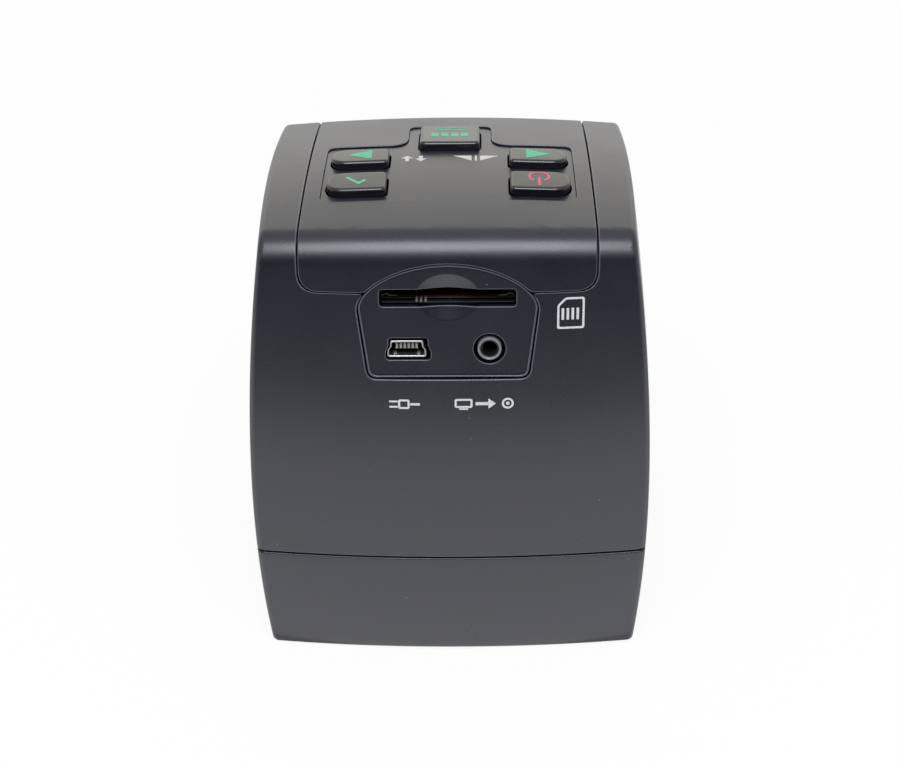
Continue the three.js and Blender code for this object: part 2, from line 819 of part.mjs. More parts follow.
function baseTray() {
  const bossLow = coverTop + seatGap;
  const boreTop = coverUnder + screwHeadHeight + screwShankLength + seatGap;
  const boss = ([x, y]) => rod(bossRadius, deckTop - deckThickness / 2 - bossLow, x, y, bossLow);
  const bore = ([x, y]) => rod(screwShankRadius + seatGap, boreTop, x, y, 0);
  return outerBody.intersect(below(deckTop))
    .subtract(innerBody.intersect(below(deckUnder)))
    .add(union(screwPlaces().map(boss)))
    .subtract(block(deckWindowWidth, deckWindowDepth, bodySpan, 0, opticalAxis, deckUnder - overrun))
    .subtract(union(screwPlaces().map(bore)));
}

// Film mask: a frame in the deck's window that bounds the picture
function filmMask() {
  const low = deckTop - maskThickness;
  const width = deckWindowWidth - 2 * seatGap;
  const depth = deckWindowDepth - 2 * seatGap;
  return block(width, depth, maskThickness, 0, opticalAxis, low)
    .subtract(block(deckWindowWidth - 2 * maskBorderX, deckWindowDepth - 2 * maskBorderY, 2 * maskThickness,
      0, opticalAxis, low - maskThickness / 2));
}

// Film guide: the roof of the film path on two rails that stand on the deck
function filmGuide() {
  const low = deckTop + seatGap;
  const roofLow = filmPathTop + seatGap;
  const depth = filmPathBack - filmPathFront + 2 * guideRail;
  const middle = (filmPathBack + filmPathFront) / 2;
  const roof = block(bodySpan, depth, guideThickness, 0, middle, roofLow);
  const rail = (y) => block(bodySpan, guideRail, guideTop - low, 0, y, low);
  return union([roof, rail(filmPathFront - guideRail / 2), rail(filmPathBack + guideRail / 2)])
    .intersect(pillow(wall + seatGap, -overrun))
    .subtract(block(guideWindowWidth, guideWindowDepth, bodySpan, 0, opticalAxis, low));
}

// Camera frame: a plate on four legs, with two posts that carry the main board
function cameraFrame() {
  const legX = (framePlateWidth - frameLeg) / 2;
  const legY = (framePlateDepth - frameLeg) / 2;
  const legLow = guideTop + seatGap;
  const boardRoom = block(bodySpan, 2 * bodySpan, bodySpan, 0, 0, mainBoardUnder - seatGap);
  const leg = (x, y) => block(frameLeg, frameLeg, plateTop - legLow, x, opticalAxis + y, legLow);
  const post = (x) => block(frameLeg, frameLeg, bodyTop - plateUnder, x, opticalAxis + legY, plateUnder)
    .subtract(placed(boardRoom, portGroup));
  const plate = block(framePlateWidth, framePlateDepth, framePlateThickness, 0, opticalAxis, plateUnder);
  return union([plate, leg(legX, legY), leg(-legX, legY), leg(legX, -legY), leg(-legX, -legY),
    post(legX), post(-legX)])
    .subtract(rod(lensTubeRadius + seatGap, bodySpan, 0, opticalAxis, 0));
}

// Lens holder, lens barrel and the sensor above them
function lensHolder() {
  const tubeLow = plateUnder - lensTubeLength;
  const base = block(lensBaseSize, lensBaseSize, lensBaseHeight, 0, opticalAxis, plateTop + seatGap);
  const pocketLow = lensBaseTop - sensorPocketDepth;
  return base.add(rod(lensTubeRadius, lensBaseTop - tubeLow, 0, opticalAxis, tubeLow))
    .subtract(rod(lensTubeRadius - lensTubeWall, bodySpan, 0, opticalAxis, 0))
    .subtract(block(sensorPocketSize, sensorPocketSize, bodySpan, 0, opticalAxis, pocketLow));
}

function lensBarrel() {
  const low = plateUnder - lensBarrelLength + framePlateThickness;
  return rod(lensTubeRadius - lensTubeWall - seatGap, lensBarrelLength, 0, opticalAxis, low)
    .subtract(rod(lensBarrelBore, bodySpan, 0, opticalAxis, 0));
}

function sensorChip() {
  return block(sensorChipSize, sensorChipSize, sensorChipThickness,
    0, opticalAxis, lensBaseTop - sensorChipThickness);
}

function sensorBoard() {
  return block(sensorBoardSize, sensorBoardSize, boardThickness, 0, opticalAxis, lensBaseTop + seatGap);
}

// Light under the film: a board with lamps, a white box round them and a diffuser at its top
function lightBoard() {
  const plate = block(lightBoxWidth, lightBoxDepth, boardThickness, 0, opticalAxis, coverTop + seatGap);
  const lamps = [];
  for (let index = 0; index < lampCount; index += 1) {
    const x = (index - (lampCount - 1) / 2) * lampSpacing;
    lamps.push(block(lampSize, lampSize, lampHeight + boardThickness, x, opticalAxis, coverTop + seatGap));
  }
  return plate.add(union(lamps));
}

function lightBox() {
  const low = lightBoardTop + seatGap;
  const inner = 2 * lightBoxWall;
  return block(lightBoxWidth, lightBoxDepth, deckUnder - seatGap - low, 0, opticalAxis, low)
    .subtract(block(lightBoxWidth - inner, lightBoxDepth - inner, bodySpan, 0, opticalAxis, 0));
}

function diffuser() {
  const trim = 2 * lightBoxWall + 2 * seatGap;
  return block(lightBoxWidth - trim, lightBoxDepth - trim, diffuserThickness,
    0, opticalAxis, deckUnder - seatGap - diffuserThickness);
}

// Bottom cover with its feet and screws
function bottomCover() {
  const shank = ([x, y]) => rod(screwShankRadius + seatGap, bodySpan, x, y, 0);
  const recess = ([x, y]) => rod(screwHeadRadius + seatGap, coverUnder + screwHeadHeight + seatGap, x, y, 0);
  return pillow(wall + seatGap, -overrun).intersect(below(coverTop)).intersect(above(coverUnder))
    .subtract(union(screwPlaces().map(shank)))
    .subtract(union(screwPlaces().map(recess)));
}

function footPlaces() {
  const x = cornerHalfWidth(coverRise) - footInset;
  const front = frontAt(x, coverRise) + footInset;
  const back = backAt(x, coverRise) - footInset;
  return [[-x, front], [-x, back], [x, front], [x, back]];
}

function screwPiece([x, y]) {
  const length = screwHeadHeight / 2 + screwShankLength;
  const slots = block(screwSlotLength, screwSlotWidth, screwSlotDepth, x, y, coverUnder)
    .add(block(screwSlotWidth, screwSlotLength, screwSlotDepth, x, y, coverUnder));
  return rod(screwHeadRadius, screwHeadHeight, x, y, coverUnder)
    .add(rod(screwShankRadius, length, x, y, coverUnder + screwHeadHeight / 2))
    .subtract(slots);
}

// Assembly
addPiece(group, 'main_shell', mainShell(), satinBlack);
addPiece(group, 'top_panel', topPanel(), satinBlack);
addPiece(group, 'front_panel', frontPanel(), satinBlack);
addPiece(group, 'screen_window', screenWindow(), windowBlack);
displayGroup();
addPiece(group, 'port_panel', portPanel(), satinBlack);
addPiece(portGroup, 'card_socket', cardSocket(), brightTin);
addPiece(portGroup, 'usb_shell', usbShell(), brightTin).position.set(usbPlace, 0, -socketDrop);
addPiece(portGroup, 'usb_tongue', usbTongue(), plainBlack).position.set(usbPlace, 0, -socketDrop);
addPiece(portGroup, 'video_jack', videoJack(), plainBlack).position.set(jackPlace, 0, -socketDrop);
addPiece(portGroup, 'key_board', board(keyBoardWidth, keyBoardDepth, keyBoardUnder), boardGreen);
addPiece(portGroup, 'main_board', board(mainBoardWidth, mainBoardDepth, mainBoardUnder), boardGreen);
for (const key of keys) {
  addPiece(key.place, `key_${key.name}`, keyPiece(key), glossBlack);
  const seat = portGroup.worldToLocal(pressPoint(key));
  const dome = addPiece(portGroup, `switch_${key.name}`, switchPiece(), plainBlack);
  dome.position.set(seat.x, seat.y, keyBoardTop + seatGap);
}
addPiece(group, 'base_tray', baseTray(), satinBlack);
addPiece(group, 'film_mask', filmMask(), plainBlack);
addPiece(group, 'film_guide', filmGuide(), plainBlack);
addPiece(group, 'camera_frame', cameraFrame(), plainBlack);
addPiece(group, 'lens_holder', lensHolder(), plainBlack);
addPiece(group, 'lens_barrel', lensBarrel(), plainBlack);
addPiece(group, 'sensor_chip', sensorChip(), displayGrey);
addPiece(group, 'sensor_board', sensorBoard(), boardGreen);
addPiece(group, 'light_board', lightBoard(), boardGreen);
addPiece(group, 'light_box', lightBox(), milkWhite);
addPiece(group, 'diffuser', diffuser(), milkWhite);
addPiece(group, 'bottom_cover', bottomCover(), satinBlack);
screwPlaces().forEach((place, index) => {
  addPiece(group, `base_screw_${index + 1}`, screwPiece(place), brightTin);
});
footPlaces().forEach(([x, y], index) => {
  addPiece(group, `rubber_foot_${index + 1}`, rod(footRadius, coverUnder - seatGap, x, y, 0), footRubber);
});

export default group;
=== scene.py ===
# The looks of a small tabletop scanner for film negatives: a pillow-shaped black body whose front,
# back and sides are shallow arcs, with five keys on its top and a socket recess in its back.
import json
import math

import bmesh
import bpy
import numpy as np
from mathutils import Matrix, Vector
from mathutils.geometry import delaunay_2d_cdt

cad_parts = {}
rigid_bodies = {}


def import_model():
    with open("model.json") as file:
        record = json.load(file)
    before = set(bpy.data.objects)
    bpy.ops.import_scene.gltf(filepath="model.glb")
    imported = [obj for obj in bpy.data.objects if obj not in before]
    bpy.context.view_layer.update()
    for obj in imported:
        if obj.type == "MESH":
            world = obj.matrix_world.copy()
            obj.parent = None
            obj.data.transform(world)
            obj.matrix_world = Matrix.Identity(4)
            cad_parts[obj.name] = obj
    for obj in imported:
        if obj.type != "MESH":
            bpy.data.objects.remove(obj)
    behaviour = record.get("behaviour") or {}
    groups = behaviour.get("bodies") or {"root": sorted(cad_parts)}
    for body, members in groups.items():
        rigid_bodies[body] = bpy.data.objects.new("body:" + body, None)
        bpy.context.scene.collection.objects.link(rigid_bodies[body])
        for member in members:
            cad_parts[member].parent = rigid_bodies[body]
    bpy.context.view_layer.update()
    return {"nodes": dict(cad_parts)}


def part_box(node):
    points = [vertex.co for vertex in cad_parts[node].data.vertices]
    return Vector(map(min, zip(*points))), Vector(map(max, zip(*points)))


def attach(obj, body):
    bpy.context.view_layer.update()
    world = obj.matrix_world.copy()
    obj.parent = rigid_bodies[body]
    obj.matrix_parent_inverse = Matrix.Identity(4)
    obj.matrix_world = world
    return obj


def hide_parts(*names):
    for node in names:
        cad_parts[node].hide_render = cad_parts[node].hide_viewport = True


for unused in list(bpy.data.objects):
    bpy.data.objects.remove(unused)
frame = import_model()
scene = bpy.context.scene


# CAMERA
# The photograph looks down on the back of the scanner from about 0.44 m, through a long lens whose
# middle is the middle of the frame. The three turns are pitch, yaw and roll.
PITCH, YAW, ROLL = 0.57850, -0.02027, -0.01477
CAMERA_PLACE = (-0.006475, 0.344789, 0.268488)
lens = bpy.data.cameras.new("camera")
lens.sensor_width = 36
lens.lens = 72.545
camera = bpy.data.objects.new("camera", lens)
scene.collection.objects.link(camera)
scene.camera = camera
look = np.array([-math.sin(YAW) * math.cos(PITCH), -math.cos(YAW) * math.cos(PITCH), -math.sin(PITCH)])
level = np.array([-math.cos(YAW), math.sin(YAW), 0])
upward = np.cross(level, look)
across = level * math.cos(ROLL) + upward * math.sin(ROLL)
upright = upward * math.cos(ROLL) - level * math.sin(ROLL)


def stood(right, up, back, place):
    """The matrix that puts an object at a place and turns its axes to three directions."""
    return Matrix([*np.stack([right, up, back, place], 1).tolist(), [0, 0, 0, 1]])


camera.matrix_world = stood(across, upright, -look, CAMERA_PLACE)


# MAIN SHELL
# The back, the two sides and the strips beside the top panel are one injection moulding in black
# ABS. Its outside is spark eroded to an even satin grain, and its open edges are eased.
SEAM = 27.125
SHELL_WALL = 2.0
PANEL_LINE = 88.6
LEVEL_LINE = PANEL_LINE - 0.2
PANEL_HALF = 29.35
PANEL_CORNER = 4
PANEL_GAP = 0.27
FRONT_HALF = 35.5
NOTCH_FRONT, NOTCH_BACK, NOTCH_TOP = -36.0, 23.0, 33.475
HEART = np.array([0.0, 0.0, 60.0])
MAP_RADIUS = 60
RAY_REACH = 110.0
HALVINGS = 34
CHUNK = 2000
ABS_BLACK = "#0e1016"
ABS_WORN = "#1f212a"
# In side view each upright face is two arcs that meet where it stands out most. Its four numbers are
# the height of that place, the radii above and below it, and how far it bows or stands out.
HALF_DEPTH = 43.1
BACK_FACE = (32.9, 287, 322, 2.4)
FRONT_FACE = (22.6, 253, 308, 1.8)
CORNER_EDGE = (36.3, 422, 367, 41.5)
SIDE_FACE = (18.7, 550, 299, 43.67)
BOW_HALF = 40
CREST, CREST_Y, CREST_RADIUS = 100.1, 16.6, 199
CROWN, CROWN_HALF = 1.34, 38
BACK_ROUND, FRONT_ROUND, SIDE_ROUND = 4.8, 1.5, 1.2


def arc(rise, above, below):
    """The fall of a shallow circle at a rise from its widest place: rise squared over twice its radius."""
    return rise**2 / (2 * np.where(rise > 0, above, below))


def face_at(x, z, widest, above, below, bow):
    """How far out an end face is: half the depth less its upright arc and less a bow by x squared."""
    return HALF_DEPTH - arc(z - widest, above, below) - bow * (x / BOW_HALF) ** 2


def back_at(x, z):
    """Where the back face is."""
    return face_at(x, z, *BACK_FACE)


def front_at(x, z):
    """Where the front face is."""
    return -face_at(x, z, *FRONT_FACE)


def crest_at(x, y):
    """The top's height: a long arc from front to back and a light crown from side to side."""
    return CREST - (y - CREST_Y) ** 2 / (2 * CREST_RADIUS) - CROWN * (x / CROWN_HALF) ** 2


def meet(a, b, round_size):
    """Inside two faces at once, with their edge rounded: a circle where both distances are near zero."""
    a, b = a + round_size, b + round_size
    return np.hypot(np.maximum(a, 0), np.maximum(b, 0)) + np.minimum(np.maximum(a, b), 0) - round_size


def body(p):
    """How far a point is outside the pillow. Each side bulges from the corner's half width to its own
    arc by one less the square of the place along it. The top meets the back in a wide round and the
    front in a small one, and both run through to sides whose edges are rounded as well."""
    x, y, z = p[..., 0], p[..., 1], p[..., 2]
    half, most = (out - arc(z - widest, above, below)
                  for widest, above, below, out in (CORNER_EDGE, SIDE_FACE))
    rear, fore = back_at(half, z), front_at(half, z)
    along = np.clip((2 * y - rear - fore) / (rear - fore), -1.1, 1.1)
    side = half + np.maximum(most - half, 0) * (1 - along**2)
    top = z - crest_at(x, y)
    behind, ahead = meet(y - back_at(x, z), top, BACK_ROUND), meet(front_at(x, z) - y, top, FRONT_ROUND)
    return meet(np.abs(x) - side, np.maximum(behind, ahead), SIDE_ROUND)


def cast(form, start, way):
    """The points where rays from inside leave a form, by halving the interval that holds its zero."""
    start, way = np.broadcast_arrays(np.asarray(start, float), np.asarray(way, float))
    low, high = np.zeros(start.shape[:-1]), np.full(start.shape[:-1], RAY_REACH)
    for _ in range(HALVINGS):
        middle = (low + high) / 2
        inside = form(start + way * middle[..., None]) < 0
        low, high = np.where(inside, middle, low), np.where(inside, high, middle)
    return start + way * low[..., None]


def facing(form, p):
    """The outward normals of a form: its slope along each axis, over 0.04 mm, brought to length 1."""
    step = 0.02 * np.eye(3)
    slope = np.stack([form(p + step[i]) - form(p - step[i]) for i in range(3)], -1)
    return slope / np.linalg.norm(slope, axis=-1, keepdims=True)


def around_flat(p):
    """A map of the whole skin: the angle from straight up times a radius, in the point's direction."""
    v = p - HEART
    run = np.hypot(v[..., 0], v[..., 1]) + 1e-12
    return v[..., :2] / run[..., None] * (MAP_RADIUS * np.arctan2(run, v[..., 2]))[..., None]


def around_way(flat):
    """The direction from the heart that a place on that map stands for."""
    run = np.hypot(flat[..., 0], flat[..., 1]) + 1e-12
    angle = run / MAP_RADIUS
    return np.concatenate([flat / run[..., None] * np.sin(angle)[..., None], np.cos(angle)[..., None]], -1)


def around(form):
    """That map and its inverse for a form."""
    return around_flat, lambda flat: cast(form, HEART, around_way(flat))


def seen_from(form, right, up, out, origin=(0, 0, 0), back=0.0):
    """A flat map of a form seen along one direction, and its inverse by rays in that direction, from
    a plane that lies back from the origin."""
    right, up, out, origin = (np.asarray(v, float) for v in (right, up, out, origin))
    return (lambda p: np.stack([(p - origin) @ right, (p - origin) @ up], -1),
            lambda flat: cast(form, origin + flat[..., :1] * right + flat[..., 1:] * up - back * out, out))


def leaves(form, onto, low, high, cell, turn=16.0):
    """Places for mesh points on a map: the middles of square cells that are quartered, up to four
    times, while the surface turns by more than a limit near the cell."""
    grid = np.meshgrid(np.arange(low[0], high[0], cell), np.arange(low[1], high[1], cell))
    cells, kept = np.stack([g.ravel() for g in grid], -1), []
    corner = np.array([[0, 0], [1, 0], [0, 1], [1, 1]])
    for depth in range(5):
        normals = facing(form, onto(cells[:, None] + (corner * 1.5 - 0.25) * cell))
        bends = (normals @ normals.transpose(0, 2, 1)).min((1, 2)) < math.cos(math.radians(turn))
        bends &= depth < 4
        kept.append(cells[~bends] + cell / 2)
        cell /= 2
        cells = (cells[bends][:, None] + corner * cell).reshape(-1, 2)
    return np.concatenate(kept)


def even(loop, step):
    """A closed line drawn again with points a step apart."""
    ring = np.concatenate([loop, loop[:1]])
    run = np.concatenate([[0], np.cumsum(np.linalg.norm(np.diff(ring, axis=0), axis=1))])
    at = np.linspace(0, run[-1], max(int(run[-1] / step), 12), endpoint=False)
    return np.stack([np.interp(at, run, ring[:, i]) for i in range(ring.shape[1])], -1)


def eased(loop, passes):
    """A closed line whose corners are eased: each point moves halfway to its neighbours' middle."""
    for _ in range(passes):
        loop = loop / 2 + (np.roll(loop, 1, 0) + np.roll(loop, -1, 0)) / 4
    return loop


def holds(loop, places):
    """Whether a flat loop goes round each place: an odd number of its sides lie to the right."""
    a, b = loop, np.roll(loop, -1, 0)
    inside = np.zeros(len(places), bool)
    for first in range(0, len(places), CHUNK):
        x, y = (places[first:first + CHUNK, i, None] for i in range(2))
        across = (a[:, 1] > y) != (b[:, 1] > y)
        rise = np.where(a[:, 1] == b[:, 1], 1, b[:, 1] - a[:, 1])
        at = a[:, 0] + (y - a[:, 1]) * (b[:, 0] - a[:, 0]) / rise
        inside[first:first + CHUNK] = (across & (x < at)).sum(1) % 2 == 1
    return inside


def in_area(loops, places):
    """Whether each place is in the area that loops bound: an odd number of them go round it."""
    return sum(holds(loop, places).astype(int) for loop in loops) % 2 == 1


def clear_of(edge, places, gap):
    """Whether each flat place is at least a gap away from every point of an edge."""
    far = np.ones(len(places), bool)
    for first in range(0, len(places), CHUNK):
        d = places[first:first + CHUNK, None] - edge
        far[first:first + CHUNK] = (d**2).sum(-1).min(1) > gap**2
    return far


def within(found, flat, triangles, loops):
    """Which triangles lie inside a set of loops. The loops' sides part the triangles into areas, and an
    area is inside when the middle of its largest triangle is."""
    walls = {tuple(sorted(side)) for side, source in zip(found[1], found[4]) if source}
    beside = {}
    for i, triangle in enumerate(triangles.tolist()):
        for k in range(3):
            side = tuple(sorted((triangle[k], triangle[k - 1])))
            if side not in walls:
                beside.setdefault(side, []).append(i)
    joined = [[] for _ in triangles]
    for pair in beside.values():
        if len(pair) == 2:
            joined[pair[0]].append(pair[1])
            joined[pair[1]].append(pair[0])
    a, b, c = (flat[triangles[:, k]] for k in range(3))
    size = np.abs((b - a)[:, 0] * (c - a)[:, 1] - (b - a)[:, 1] * (c - a)[:, 0])
    odd = in_area(loops, (a + b + c) / 3)
    inside = np.zeros(len(triangles), bool)
    seen = np.zeros(len(triangles), bool)
    for first in range(len(triangles)):
        if seen[first]:
            continue
        seen[first] = True
        area = [first]
        for here in area:
            for other in joined[here]:
                if not seen[other]:
                    seen[other] = True
                    area.append(other)
        inside[area] = odd[area[int(np.argmax(size[area]))]]
    return inside


def cut(loops, places):
    """Cuts the flat areas inside closed lines into triangles between the lines' points and others. Four
    far corners keep the lines off the rim of what is cut, and fall away again."""
    edge = np.concatenate(loops)
    sides, start = [], 0
    for loop in loops:
        k = np.arange(len(loop))
        sides += np.stack([start + k, start + (k + 1) % len(loop)], -1).tolist()
        start += len(loop)
    low, high = edge.min(0) - 9, edge.max(0) + 9
    far = [low, (high[0], low[1]), high, (low[0], high[1])]
    found = delaunay_2d_cdt(np.concatenate([edge, places.reshape(-1, 2), far]).tolist(), sides, [], 0, 1e-7)
    flat, triangles = np.array(found[0]), np.array(found[2])
    triangles = triangles[within(found, flat, triangles, loops)]
    used, order = np.unique(triangles, return_inverse=True)
    return flat[used], order.reshape(-1, 3)


def to_object(name, points, faces, normals=None, corner=35.0):
    """A mesh object in metres from points in mm. Without its own normals it is smooth up to an angle."""
    mesh = bpy.data.meshes.new(name)
    mesh.from_pydata((np.asarray(points) / 1000).tolist(), [], [list(map(int, f)) for f in faces])
    mesh.polygons.foreach_set("use_smooth", np.ones(len(mesh.polygons), bool))
    if normals is None:
        mesh.set_sharp_from_angle(angle=math.radians(corner))
    else:
        mesh.normals_split_custom_set_from_vertices(np.asarray(normals).tolist())
    mesh.update()
    made = bpy.data.objects.new(name, mesh)
    scene.collection.objects.link(made)
    return made


def band_faces(first, second, count):
    """The faces between two rings of the same number of points, given by their first indices."""
    k = np.arange(count)
    n = (k + 1) % count
    return np.stack([first + k, first + n, second + n, second + k], -1)


def turning(loop):
    """Twice the area of a flat loop, above zero where it turns to the left."""
    return np.sum(loop[:, 0] * np.roll(loop[:, 1], -1) - loop[:, 1] * np.roll(loop[:, 0], -1))


def mark_edges(made, values):
    """Writes a mark at each point of a mesh: 1 on its edges, which are painted paler, partly as rubbed wear
    and partly as a painted highlight; 0 on its faces; and -1 inside its walls, which get a low specular level
    that darkens them as painted shade.
    """
    made.data.attributes.new("edge", "FLOAT", "POINT").data.foreach_set("value", values)


def skin(name, form, chart, loops, wall, lip, step=0.5, cell=3.0, ease=3, creases=()):
    """A moulded sheet on a form. Its outline and holes are lines on the form. Inside them the form is
    cut into triangles between points from leaves and along creases. Each edge then runs round a
    quarter circle of the lip's size, and a wall joins it to the same sheet moved in by the wall."""
    flat_of, onto = chart
    loops = [eased(even(np.asarray(loop, float), step), ease) for loop in loops]
    flats = [flat_of(loop) for loop in loops]
    rims, stacks = [], []
    angles = np.radians([22.5, 45, 67.5, 90])
    for i, (loop, flat) in enumerate(zip(loops, flats)):
        is_hole = np.any(in_area(flats[:i] + flats[i + 1:], flat[:1]))
        if (turning(flat) > 0) == is_hole:
            loop = loop[::-1]
        normal = facing(form, loop)
        inward = np.cross(normal, np.roll(loop, -1, 0) - np.roll(loop, 1, 0))
        inward = eased(inward / np.linalg.norm(inward, axis=1, keepdims=True), 2)
        size = lip(loop) if callable(lip) else lip
        rims.append(onto(flat_of(loop + inward * size)))
        stacks.append((
            [loop + inward * size * (1 - np.sin(t)) - normal * size * (1 - np.cos(t)) for t in angles],
            [normal * np.cos(t) - inward * np.sin(t) for t in angles]))
    outline = [flat_of(rim) for rim in rims]
    edge = np.concatenate(outline)
    places = leaves(form, onto, edge.min(0), edge.max(0), cell)
    places = places[in_area(outline, places)]
    places = places[clear_of(edge, places, 0.55 * step)]
    for crease in creases:
        mark = flat_of(even(np.asarray(crease, float), step))
        mark = mark[in_area(outline, mark)]
        mark = mark[clear_of(edge, mark, 0.4 * step)]
        places = np.concatenate([places[clear_of(mark, places, 0.6 * step)], mark])
    flat, triangles = cut(outline, places)
    points = onto(flat)
    points[:len(edge)] = np.concatenate(rims)
    normals = facing(form, points)
    all_points, all_normals = [points, points - normals * wall], [normals, -normals]
    faces = [triangles, triangles[:, ::-1] + len(points)]
    # The rounded edges are marked 1 and painted paler, partly as rubbed wear and partly as a painted
    # highlight; the walls and the hidden inner sheet are marked -1 and darkened as painted shade.
    tone_mark, start, total = [np.repeat([0.0, -1.0], len(points))], 0, 2 * len(points)
    for rings, turned in stacks:
        count = len(rings[0])
        firsts = [start, *range(total, total + 4 * count, count), start + len(points)]
        faces += [band_faces(a, b, count)[:, ::-1] for a, b in zip(firsts, firsts[1:])]
        all_points += rings
        all_normals += turned
        tone_mark.append(np.repeat([1.0, 1.0, 1.0, -1.0], count))
        start, total = start + count, total + 4 * count
    faces = [face for group in faces for face in group.tolist()]
    made = to_object(name, np.concatenate(all_points), faces, np.concatenate(all_normals))
    mark_edges(made, np.concatenate(tone_mark))
    return made


def bend(a, corner, b, count=24):
    """A curve of the second degree from a to b that leaves and arrives along the lines to a corner."""
    t = np.linspace(0, 1, count)[:, None]
    a, corner, b = (np.asarray(v, float) for v in (a, corner, b))
    return (1 - t) ** 2 * a + 2 * t * (1 - t) * corner + t**2 * b


def line(a, b, count=200):
    """Points from a to b."""
    return np.asarray(a, float) + (np.asarray(b, float) - a) * np.linspace(0, 1, count)[:, None]


def on_face(xz, side, form=body):
    """Places on the back face, side 1, or the front face, side -1, from their x and height."""
    return cast(form, np.stack([xz[:, 0], 0 * xz[:, 0], xz[:, 1]], -1), (0, side, 0))


def over_top(x, level):
    """A line over the top at one x, from a level on the front face to the same level on the back."""
    fore, rear = (on_face(np.array([[x, level]]), side)[0] - HEART for side in (-1, 1))
    angle = np.linspace(math.atan2(fore[2], fore[1]), math.atan2(rear[2], rear[1]), 500)
    return cast(body, HEART + (x, 0, 0), np.stack([0 * angle, np.cos(angle), np.sin(angle)], -1))


# The socket recess has its own leaning frame. In it are its shoulders, the corners of its foot, the
# top of its dome and the points that pull the dome's curves, each as a half width and a rise.
PORT_LEAN = math.radians(9.4)
PORT_RISE = 80.6
PORT_ORIGIN = np.array([0, float(back_at(0.0, PORT_RISE)), PORT_RISE])
PORT_OUT = np.array([0, math.cos(PORT_LEAN), math.sin(PORT_LEAN)])
PORT_UP = np.array([0, -math.sin(PORT_LEAN), math.cos(PORT_LEAN)])
SHOULDER, SHOULDER_RISE = 17.8, 4.7
FOOT, FOOT_RISE, FOOT_ROUND = 16, -10, 1.6
DOME_RISE, PULL_RISE, PULL_SHARE = 13.95, 8.75, 0.55
PORT_GAP = 0.26
RAY_START = -12.0


def port_outline(grow):
    """The recess's outline: a flat foot with eased corners, two straight sides that lean apart, and a
    dome of two cubic curves."""
    shoulder, foot, low, high = SHOULDER + grow, FOOT + grow, FOOT_RISE - grow, DOME_RISE + grow
    side = np.array([shoulder - foot, SHOULDER_RISE - low])
    side *= FOOT_ROUND / np.linalg.norm(side)
    start, corner, end = (foot - FOOT_ROUND, low), (foot, low), (foot + side[0], low + side[1])
    pulls = (shoulder, SHOULDER_RISE), (shoulder, PULL_RISE), (shoulder * PULL_SHARE, high), (0, high)
    a, b, c, d = (np.array(pull) for pull in pulls)
    t = np.linspace(0, 1, 160)[:, None]
    dome = (1 - t) ** 3 * a + 3 * t * (1 - t) ** 2 * b + 3 * t**2 * (1 - t) * c + t**3 * d
    half = np.concatenate([line((0, low), start, 100), bend(start, corner, end), line(end, a, 120), dome])
    return np.concatenate([half, half[::-1] * (-1, 1)])


def in_port(x, out, up):
    """A place given in the recess's own frame: across, outwards and up its leaning face."""
    x, out, up = np.broadcast_arrays(x, out, up)
    return PORT_ORIGIN + x[..., None] * (1, 0, 0) + out[..., None] * PORT_OUT + up[..., None] * PORT_UP


def on_port_wall(outline):
    """The recess's outline on the back face, by rays along its own outward direction."""
    return cast(body, in_port(outline[:, 0], RAY_START, outline[:, 1]), PORT_OUT)


def panel_corner(edge, start, low):
    """The turn from a side of the top panel, from a start height, to its level edge."""
    return bend((edge, start), (edge, low), (edge - PANEL_CORNER, low))


def shell_outline():
    """The shell's edge, one side and then its mirror image: up the front edge, round the corner of
    the top panel, over the top, round to the recess, and back along the seam with its film notch."""
    edge, low, front = PANEL_HALF + PANEL_GAP, PANEL_LINE - PANEL_GAP, FRONT_HALF + PANEL_GAP
    start = low + PANEL_CORNER
    horn = panel_corner(edge, start, low)
    horn = horn[horn[:, 1] > PANEL_LINE + 0.6]
    rise = np.concatenate([
        line((front, SEAM), (front, PANEL_LINE - 2)),
        bend((front, PANEL_LINE - 2), (front, PANEL_LINE), (front - 2, PANEL_LINE)),
        line((front - 2, PANEL_LINE), (horn[-1, 0], PANEL_LINE), 30), horn[::-1]])
    port = on_port_wall(port_outline(PORT_GAP))
    port = port[(port[:, 0] > 0) & (port[:, 2] < low)][::-1]
    corner = panel_corner(edge, start, LEVEL_LINE)
    level = on_face(np.concatenate([corner, line(corner[-1], (port[0, 0], LEVEL_LINE), 60)]), 1)
    upper = np.concatenate([on_face(rise, -1), over_top(edge, start), level, port])
    notch = [(NOTCH_FRONT, SEAM), (NOTCH_FRONT, NOTCH_TOP), (NOTCH_BACK, NOTCH_TOP), (NOTCH_BACK, SEAM)]
    yz = np.concatenate([line(a, b, 120) for a, b in zip(notch, notch[1:])])
    sides = cast(body, np.stack([0 * yz[:, 0], yz[:, 0], yz[:, 1]], -1), (1, 0, 0))
    first = on_face(np.array([[front, SEAM]]), -1)[0]
    angle = np.linspace(math.atan2(first[1], first[0]), math.pi / 2, 1200)
    seam = cast(body, (0, 0, SEAM), np.stack([np.cos(angle), np.sin(angle), 0 * angle], -1))
    lower = np.concatenate([seam[seam[:, 1] < NOTCH_FRONT], sides, seam[seam[:, 1] > NOTCH_BACK]])
    mirror = np.array([-1, 1, 1])
    return np.concatenate([lower[::-1], upper, upper[::-1][1:] * mirror, lower[1:-1] * mirror])


def paint(hex_colour):
    """An sRGB hex colour as Blender's linear red, green, blue and alpha."""
    parts = [int(hex_colour[i:i + 2], 16) / 255 for i in (1, 3, 5)]
    return [c / 12.92 if c <= 0.04045 else ((c + 0.055) / 1.055) ** 2.4 for c in parts] + [1.0]


def blank(name):
    """A new material's empty node tree, and the material."""
    material = bpy.data.materials.new(name)
    material.use_nodes = True
    material.node_tree.nodes.clear()
    return material.node_tree, material


